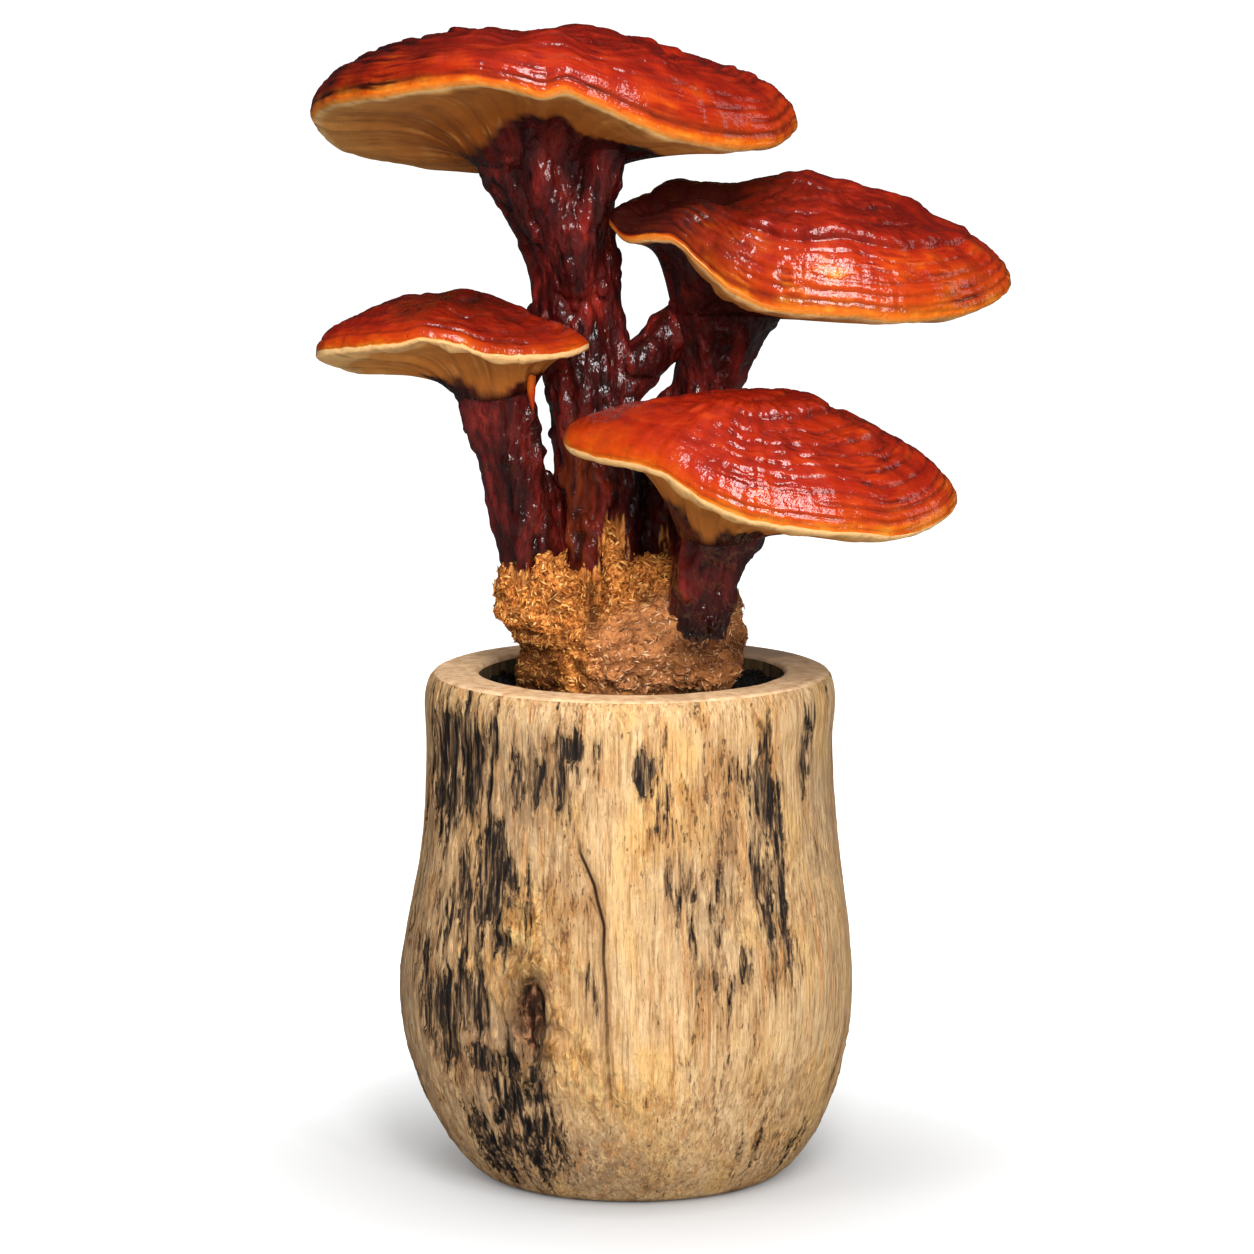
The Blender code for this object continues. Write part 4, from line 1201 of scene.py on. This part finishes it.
def block_pieces(stem_feet):
    mesh = fused_mesh("block", block_beads(), BLOCK_VOXEL)
    points = points_of(mesh)
    shape = 0.0032 * layered(points, 60.0, 2, 70) + 0.0016 * layered(points, 170.0, 2, 72)
    shape -= 0.0022 * block_creases(points) + 0.0050 * block_ledge(points)
    crease = bell((points[:, 0] - CREASE_X) / 0.005) * smooth_step(0.305, 0.315, points[:, 2])
    shape -= 0.005 * crease * smooth_step(0, -0.02, points[:, 1])
    pink, dark = block_tint_and_shade(push_out(mesh, shape))
    give_values(mesh, pink=pink * 0.6, dark=dark)
    add_piece("chip_block", mesh, (chip_block(),), "base")
    flakes_piece("block_flakes", [mesh] + [stem.data for stem in stem_feet], FLAKES)


def flaked_triangles(mesh):
    """Corners of a mesh's triangles and how much chip-covered area each one has."""
    mesh.calc_loop_triangles()
    corners = np.empty(len(mesh.loop_triangles) * 3, np.int32)
    mesh.loop_triangles.foreach_get("vertices", corners)
    corners = corners.reshape(-1, 3)
    triangles = points_of(mesh)[corners]
    a, b, c = triangles.transpose(1, 0, 2)
    area = np.linalg.norm(np.cross(b - a, c - a), axis=1)
    height = triangles[:, :, 2].mean(axis=1)
    if "worn" in mesh.attributes:
        worn = np.empty(len(mesh.vertices), np.float32)
        mesh.attributes["worn"].data.foreach_get("value", worn)
        covered = np.clip(worn[corners].mean(axis=1) * 1.3 - 0.1, 0, 1)
        area = area * covered * smooth_step(0.352, 0.338, height)
    return triangles, area * (height > 0.262)


def unit(vectors):
    return vectors / np.linalg.norm(vectors, axis=1)[:, None]


def flakes_piece(name, grounds, count):
    """Small bowed chips, half sunk in the ground meshes, as one joined mesh."""
    triangles, weight = (np.concatenate(parts) for parts in zip(*map(flaked_triangles, grounds)))
    a, b, c = triangles[RANDOM.choice(len(weight), count, p=weight / weight.sum())].transpose(1, 0, 2)
    u, v = RANDOM.uniform(size=(2, count, 1))
    over = u + v > 1
    u, v = np.where(over, 1 - u, u), np.where(over, 1 - v, v)
    centre = a + (b - a) * u + (c - a) * v
    normal = unit(np.cross(b - a, c - a))
    along = unit(np.cross(normal, RANDOM.normal(size=(count, 3))))
    pink, dark = block_tint_and_shade(centre)
    loose = 1 - 0.65 * pink[:, None]
    along += normal * RANDOM.uniform(-0.30, 0.30, (count, 1)) * loose
    side = np.cross(along, normal)
    length, width, thick, bow = (RANDOM.uniform(low, high, (count, 1)) for low, high in (
        (0.0008, 0.0025), (0.0005, 0.0012), (0.0002, 0.0004), (-0.6, 1.0),
    ))
    rows = []
    for share, slim in ((-1.0, 0.35), (0.0, 1.0), (1.0, 0.3)):
        lifted = 0.0003 + bow * loose * length * 0.35 * (share**2 - 0.4)
        middle = centre + along * length * share + normal * lifted
        for turn in np.radians((90, 210, 330)):
            aside = side * width * slim * math.cos(turn)
            rows.append(middle + aside + normal * thick * slim * math.sin(turn))
    ring = ((0, 1, 4, 3), (1, 2, 5, 4), (2, 0, 3, 5))
    quads = [[start + k for k in quad] for start in (0, 3) for quad in ring]
    faces = repeated(quads, count, 9) + repeated(((2, 1, 0), (6, 7, 8)), count, 9)
    mesh = new_mesh(name, np.stack(rows, axis=1).reshape(-1, 3), faces)
    tint = RANDOM.uniform(0, 1, count) ** 1.3
    give_values(mesh, tint=np.repeat(tint, 9), pink=np.repeat(pink, 9), dark=np.repeat(dark * 0.85, 9))
    return add_piece(name, mesh, (chip_flakes(),))


# Soil

GRANULES = 2000


def soil_pieces():
    """The soil of the model in black, with loose granules on it between the block and the pot."""
    black = soil_black()
    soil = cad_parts["soil"]
    soil.data.materials.clear()
    soil.data.materials.append(black)
    places = []
    while len(places) < GRANULES:
        x, y = RANDOM.uniform(-HOLLOW_RADIUS, HOLLOW_RADIUS, 2)
        outside_block = math.hypot((x + 0.004) / 0.052, (y + 0.003) / 0.045) > 1.0
        if outside_block and math.hypot(x, y) < HOLLOW_RADIUS - 0.0015:
            places.append((x, y, SOIL_TOP + RANDOM.uniform(-0.001, 0.0022)))
    ball, ball_faces = unit_ball(1)
    size = RANDOM.uniform(0.0008, 0.0019, (GRANULES, 1, 1)) * RANDOM.uniform(0.7, 1.3, (GRANULES, 1, 3))
    rough = ball[None] * (1 + RANDOM.uniform(-0.28, 0.28, (GRANULES, len(ball), 1)))
    points = (np.array(places)[:, None] + rough * size).reshape(-1, 3)
    mesh = new_mesh("granules", points, repeated(ball_faces, GRANULES, len(ball)))
    add_piece("soil_granules", mesh, (black,))


# Pot, with places on its wall as (bearing, height, half width in degrees, half height, strength)

DARK_PLACES = (
    (-152, 238, 19, 34, 1.2), (-132, 246, 13, 16, 0.8), (-108, 253.5, 9, 8, 0.85), (-116, 237, 13, 20, 0.7),
    (-86.5, 242, 2.8, 11, 0.85), (-131, 181, 10, 25, 1.45), (-144, 150, 9, 24, 0.95),
    (-138, 137, 12, 6, 0.7), (-134, 83, 18, 8, 1.2), (-146, 105, 11, 30, 1), (-121, 50, 11, 36, 1.15),
    (-134, 36, 9, 22, 0.8), (-138, 18, 12, 9, 0.9), (-50, 224, 5, 34, 1.05), (-52, 178, 5, 36, 1.05),
    (-46, 165, 3, 34, 0.85), (-65, 164, 4, 22, 0.62), (-74, 176, 8, 26, 0.34), (-41, 26, 14, 13, 0.52),
    (-33, 250, 5, 16, 0.5), (-62, 130, 5, 20, 0.45), (-170, 190, 7, 60, 0.62), (35, 205, 9, 45, 0.9),
    (62, 120, 7, 50, 0.75), (98, 215, 11, 34, 0.95), (120, 60, 15, 20, 0.85), (150, 150, 8, 55, 0.82),
    (5, 75, 10, 30, 0.8), (175, 70, 10, 24, 0.75), (78, 30, 13, 12, 0.75), (-134, 110, 7, 24, 0.85),
    (-127, 148, 7, 8, 0.8),
)
FIBRE_PLACES = (
    (-118, 156, 6, 22, 1), (-119, 139, 11, 10, 1), (-105, 88, 7, 14, 0.8), (-128, 135, 9, 6, 0.8),
    (-109, 104, 2.5, 20, 0.8), (-98, 70, 9, 14, 0.5), (-122, 120, 6, 10, 0.6), (-119, 76, 5, 10, 0.6),
)
GREY_PLACES = (
    (-97, 28, 18, 18, 0.8), (-165, 120, 16, 120, 0.7), (-20, 200, 18, 70, 0.55), (-122, 230, 18, 32, 0.85),
    (-66, 170, 14, 40, 0.55), (-112, 195, 6, 20, 0.5), (-128, 95, 16, 70, 0.9), (90, 100, 40, 80, 0.45),
    (-122, 112, 6, 30, 0.95),
)
GNARLED_PLACES = (
    (-140, 215, 26, 50, 1), (-130, 110, 22, 60, 0.9), (-58, 190, 12, 60, 0.6), (-125, 45, 18, 30, 0.9),
    (60, 190, 30, 60, 0.8), (140, 120, 30, 80, 0.8),
)
KNOT = (-115.5, 108.5, 4.6, 26)
# The crack's line, as (bearing, height) from its top down
CRACK = ((-104.9, 210), (-104, 200), (-99.9, 183), (-97.6, 160), (-96.7, 128), (-96, 79), (-95.5, 55))


def bearing_from(middle, degrees):
    """Degrees from a bearing, from -180 to 180."""
    return (degrees - middle + 180) % 360 - 180


def spots(places, degrees, z):
    """The strongest of several soft oval places on the wall."""
    most = np.zeros(len(z))
    for middle, height, half_width, half_height, strength in places:
        away = (bearing_from(middle, degrees) / half_width) ** 2 + ((1000 * z - height) / half_height) ** 2
        most = np.maximum(most, strength * np.exp(-0.7 * away))
    return np.minimum(most, 1.0)


def knot_at(degrees, z, space):
    """Distance from the knot's middle, in its own half sizes, and where the knot is."""
    bearing, height, half_width, half_height = KNOT
    away = np.hypot((degrees - bearing) / half_width, (1000 * z - height) / half_height)
    away += 0.15 * noise(space, 120, 81)
    return away, 1 - smooth_step(0.75, 1.05, away)


def crack_at(degrees, z, space):
    """Metres to the side of the crack's line, and how open it is at this height."""
    line, heights = np.array(CRACK)[::-1].T
    side = np.radians(degrees - np.interp(1000 * z, heights, line)) * 0.118
    side += 0.0008 * noise(space, 70, 82)
    return side, smooth_step(0.050, 0.075, z) * smooth_step(0.215, 0.195, z)


def wall_surface(degrees, z, space):
    """Relief of the weathered wall, and the values that its material reads."""
    grain = layered(space, (230, 230, 14), 3, 83)
    broad = noise(space, (22, 22, 6), 85)
    rough = layered(space, (150, 150, 90), 3, 86)
    strokes = layered(space, (165, 165, 19), 3, 89)
    patches = layered(space, (60, 60, 26), 2, 90)
    ribs = layered(space, (125, 125, 9), 2, 91)
    char = 1.30 * spots(DARK_PLACES, degrees, z) - 0.77 + 0.68 * strokes + 0.45 * patches
    fibre = spots(FIBRE_PLACES, degrees, z)
    gnarl = spots(GNARLED_PLACES, degrees, z)
    bark = bell(layered(space, (62, 62, 40), 2, 92) / 0.07)
    bark *= np.clip(smooth_step(0.13, 0.03, z) + 0.7 * gnarl, 0, 1)
    knot_away, knot = knot_at(degrees, z, space)
    crack_side, crack_open = crack_at(degrees, z, space)
    fold = bell(crack_side / np.where(crack_side < 0, 0.010, 0.004))
    groove = bell((crack_side - 0.0018) / 0.0024) * crack_open
    relief = 0.0004 * grain + 0.0006 * layered(space, (60, 60, 7), 2, 84) + 0.0010 * broad + 0.0002 * rough
    relief += 0.0016 * gnarl * (ribs + 0.4 * rough) + 0.0007 * bark
    relief += 0.0032 * fibre * (0.35 + rough) - 0.0015 * smooth_step(-0.05, 0.15, char) * (1 + 0.5 * grain)
    relief += 0.0030 * bell((knot_away - 1.15) / 0.28) - 0.0034 * knot * (0.8 - 0.6 * rough)
    relief += 0.0024 * fold * crack_open - 0.0042 * groove
    return relief, dict(
        char=char,
        fibre=np.clip(fibre * (0.8 + 0.8 * rough), 0, 1),
        bark=bark,
        knot=np.maximum(knot, 0.55 * (1 - smooth_step(1.0, 1.9, knot_away))),
        # groove: painted shade in the crack and a faint painted shadow round it.
        groove=np.maximum(groove, 0.45 * bell((crack_side + 0.001) / 0.007) * crack_open),
        crack=np.clip(crack_side * 100, -1, 1),
        cracked=crack_open * (0.7 + 0.5 * broad),
    )


def pot_profile():
    """(radius, height) rows from the hollow's floor, over the rim and down to the foot.

    The rows where the rim and the wall begin come with them.
    """
    outer = np.array(POT_WALL)
    run = np.concatenate(([0], np.cumsum(np.linalg.norm(np.diff(outer, axis=0), axis=1))))
    wall = smooth_rows(np.column_stack((run, outer)), np.linspace(0, run[-1], WALL_ROWS))[:, 1:]
    inner = [(HOLLOW_RADIUS - 0.010, HOLLOW_FLOOR), (HOLLOW_RADIUS, HOLLOW_FLOOR + 0.008)]
    inner += [(HOLLOW_RADIUS, z) for z in (0.12, 0.20, 0.255, 0.262, 0.268, 0.272)]
    first_rim = len(inner)
    for angle in (0, 0.4, 0.8, 1.2):
        inner.append((HOLLOW_RADIUS + RIM_ROUND * (1 - math.cos(angle)),
                      POT_HEIGHT - RIM_ROUND * (1 - math.sin(angle))))
    inner += [(r, POT_HEIGHT) for r in np.linspace(HOLLOW_RADIUS + RIM_ROUND, RIM_FLAT_TO, RIM_ROWS)]
    return np.array(inner + wall.tolist() + [(0.06, 0.0), (0.03, 0.0)]), first_rim, len(inner)


def pot_piece():
    profile, first_rim, first_wall = pot_profile()
    radius, z = (np.repeat(column, POT_SIDES) for column in profile.T)
    row = np.repeat(np.arange(len(profile)), POT_SIDES)
    angle = np.tile(np.arange(POT_SIDES) / POT_SIDES * 2 * math.pi - math.pi, len(profile))
    degrees = np.degrees(angle)
    on_wall = (row >= first_wall) & (z > 0.0001)
    space = np.stack((np.cos(angle) * 0.115, np.sin(angle) * 0.115, z), axis=1)

    belly = np.where(on_wall, np.sin(math.pi * np.clip(z / POT_HEIGHT, 0, 1)), 0)
    uneven = np.sin(2 * angle + 20 * z) + 0.6 * np.sin(3 * angle - 30 * z + 1.0)
    relief, values = wall_surface(degrees, z, space)
    fade = smooth_step(POT_HEIGHT, POT_HEIGHT - 0.004, z) * smooth_step(0.0, 0.006, z)
    radius = radius * (1 + belly * POT_SWELL * uneven / HOLLOW_RADIUS) + np.where(on_wall, relief * fade, 0)
    lifted = z + np.where((row >= first_rim) & ~on_wall, 0.0003 * noise(space, 40, 87), 0)
    grid = np.stack((np.cos(angle) * radius - POT_LEAN * belly, np.sin(angle) * radius, lifted), axis=1)
    mesh = ringed_mesh("pot", grid.reshape(len(profile), POT_SIDES, 3), (0, 0, HOLLOW_FLOOR), (0, 0, 0))

    wall_kind, rim_kind, hollow_kind = 0, 1, 2
    kind = np.full(len(profile) - 1, wall_kind)
    kind[:first_rim] = hollow_kind
    kind[first_rim:first_wall + 1] = rim_kind
    kind = np.concatenate((np.repeat(kind, POT_SIDES), np.full(POT_SIDES, hollow_kind),
                           np.full(POT_SIDES, wall_kind)))
    mesh.polygons.foreach_set("material_index", kind.astype(np.int32))
    for name in ("knot", "groove", "cracked"):
        values[name] = values[name] * on_wall
    rim_grey = np.clip(0.85 * bell(bearing_from(50, degrees) / 45) + 0.3 * noise(space, 60, 88), 0, 1)
    values["grey"] = np.where(z > POT_HEIGHT - 0.004, rim_grey, spots(GREY_PLACES, degrees, z))
    give_values(mesh, **{name: np.append(numbers, (0, 0)) for name, numbers in values.items()})
    add_piece("log_pot", mesh, (log_wood(), rim_wood(), hollow_wood()), "pot")


# Studio

AIM = (-0.0025, 0.0, 0.3035)
CAMERA_PLACE, CAMERA_DOWN, LENS = (-0.0025, -2.843, 0.7405), 8.74, 150.3


def camera():
    data = bpy.data.cameras.new("camera")
    data.lens = LENS
    item = new_object("camera", data)
    item.location = CAMERA_PLACE
    item.rotation_euler = (math.radians(90 - CAMERA_DOWN), 0, 0)
    bpy.context.scene.camera = item


def softbox(name, place, size, power, glossy=True):
    data = bpy.data.lights.new(name, "AREA")
    data.shape = "RECTANGLE"
    data.size, data.size_y = size
    data.energy = power
    item = new_object(name, data)
    item.location = place
    item.visible_glossy = glossy
    x, y, z = np.array(AIM) - np.array(place)
    item.rotation_euler = (math.atan2(math.hypot(x, y), -z), 0, math.atan2(-x, y))


def floor_white():
    """White that glows for the camera, less near the pot as a painted shadow round it, and dim in
    reflections.
    """
    look = Look("floor_white", 0.9, specular=0.0)
    look.shader("Emission Color", (1.0, 1.0, 1.0))
    place = look.nodes.new("ShaderNodeTexCoord")
    apart = look.nodes.new("ShaderNodeSeparateXYZ")
    look.feed(apart.inputs[0], place.outputs["Object"])
    behind = look.times(look.calc("MAXIMUM", apart.outputs["Y"], 0.0), 0.55)
    across = look.times(apart.outputs["X"], 1.12)
    along = look.calc("MULTIPLY_ADD", apart.outputs["Y"], 0.88, behind)
    square = look.calc("MULTIPLY_ADD", across, across, look.times(along, along))
    # Painted shadow: the glow fades from white far out to grey close to the pot, and reaches further behind
    # it.
    painted_shadow_greys = ((0.080, 0.05), (0.105, 0.19), (0.130, 0.245), (0.200, 0.38), (0.290, 0.56), (0.400, 0.80),
             (0.550, 1.0))
    glow = look.ramp(look.calc("SQRT", square), *((away, grey, grey, grey) for away, grey in painted_shadow_greys))
    rays = look.nodes.new("ShaderNodeLightPath")
    look.shader("Emission Strength", look.times(glow, rays.outputs["Is Camera Ray"]))
    look.colour = look.mixed(rays.outputs["Is Glossy Ray"], (0.45, 0.45, 0.45), (0.07, 0.07, 0.07))
    return look.finish()


def add_floor():
    mesh = bpy.data.meshes.new("floor")
    shape = bmesh.new()
    bmesh.ops.create_grid(shape, x_segments=1, y_segments=1, size=60)
    shape.to_mesh(mesh)
    shape.free()
    floor = new_object("floor", mesh)
    mesh.materials.append(floor_white())


def add_world():
    """White for the camera, grey as light, and nearly black in reflections."""
    world = bpy.data.worlds.new("studio")
    world.use_nodes = True
    bpy.context.scene.world = world
    nodes, links = world.node_tree.nodes, world.node_tree.links
    rays = nodes.new("ShaderNodeLightPath")
    dim = nodes.new("ShaderNodeMix")
    dim.inputs["A"].default_value = 0.26
    dim.inputs["B"].default_value = 0.018
    links.new(rays.outputs["Is Glossy Ray"], dim.inputs["Factor"])
    seen = nodes.new("ShaderNodeMix")
    seen.inputs["B"].default_value = 1.0
    links.new(rays.outputs["Is Camera Ray"], seen.inputs["Factor"])
    links.new(dim.outputs["Result"], seen.inputs["A"])
    nodes["Background"].inputs["Color"].default_value = (1.0, 1.0, 1.0, 1.0)
    links.new(seen.outputs["Result"], nodes["Background"].inputs["Strength"])
    bpy.context.scene.view_settings.view_transform = "Standard"


def add_lights():
    softbox("key_left", (0.16, -1.28, 1.38), (0.36, 1.15), 21)
    softbox("key_right", (0.60, -1.22, 1.28), (0.16, 1.05), 6.5)
    softbox("overhead", (0.0, -0.1, 2.4), (1.5, 1.1), 20, glossy=False)
    softbox("front", (0.4, -2.6, 1.2), (1.0, 0.9), 48, glossy=False)
    softbox("left_fill", (-1.9, -1.2, 1.3), (0.8, 1.8), 16, glossy=False)
    softbox("right_rim", (2.2, 0.3, 1.3), (0.4, 1.4), 4)


add_floor()
add_world()
add_lights()
camera()
cap_materials = (cap_lacquer(), cap_underside())
for name in CAPS:
    cap_piece(name, cap_materials)
drip(cap_materials[0])
block_pieces(stems())
soil_pieces()
pot_piece()
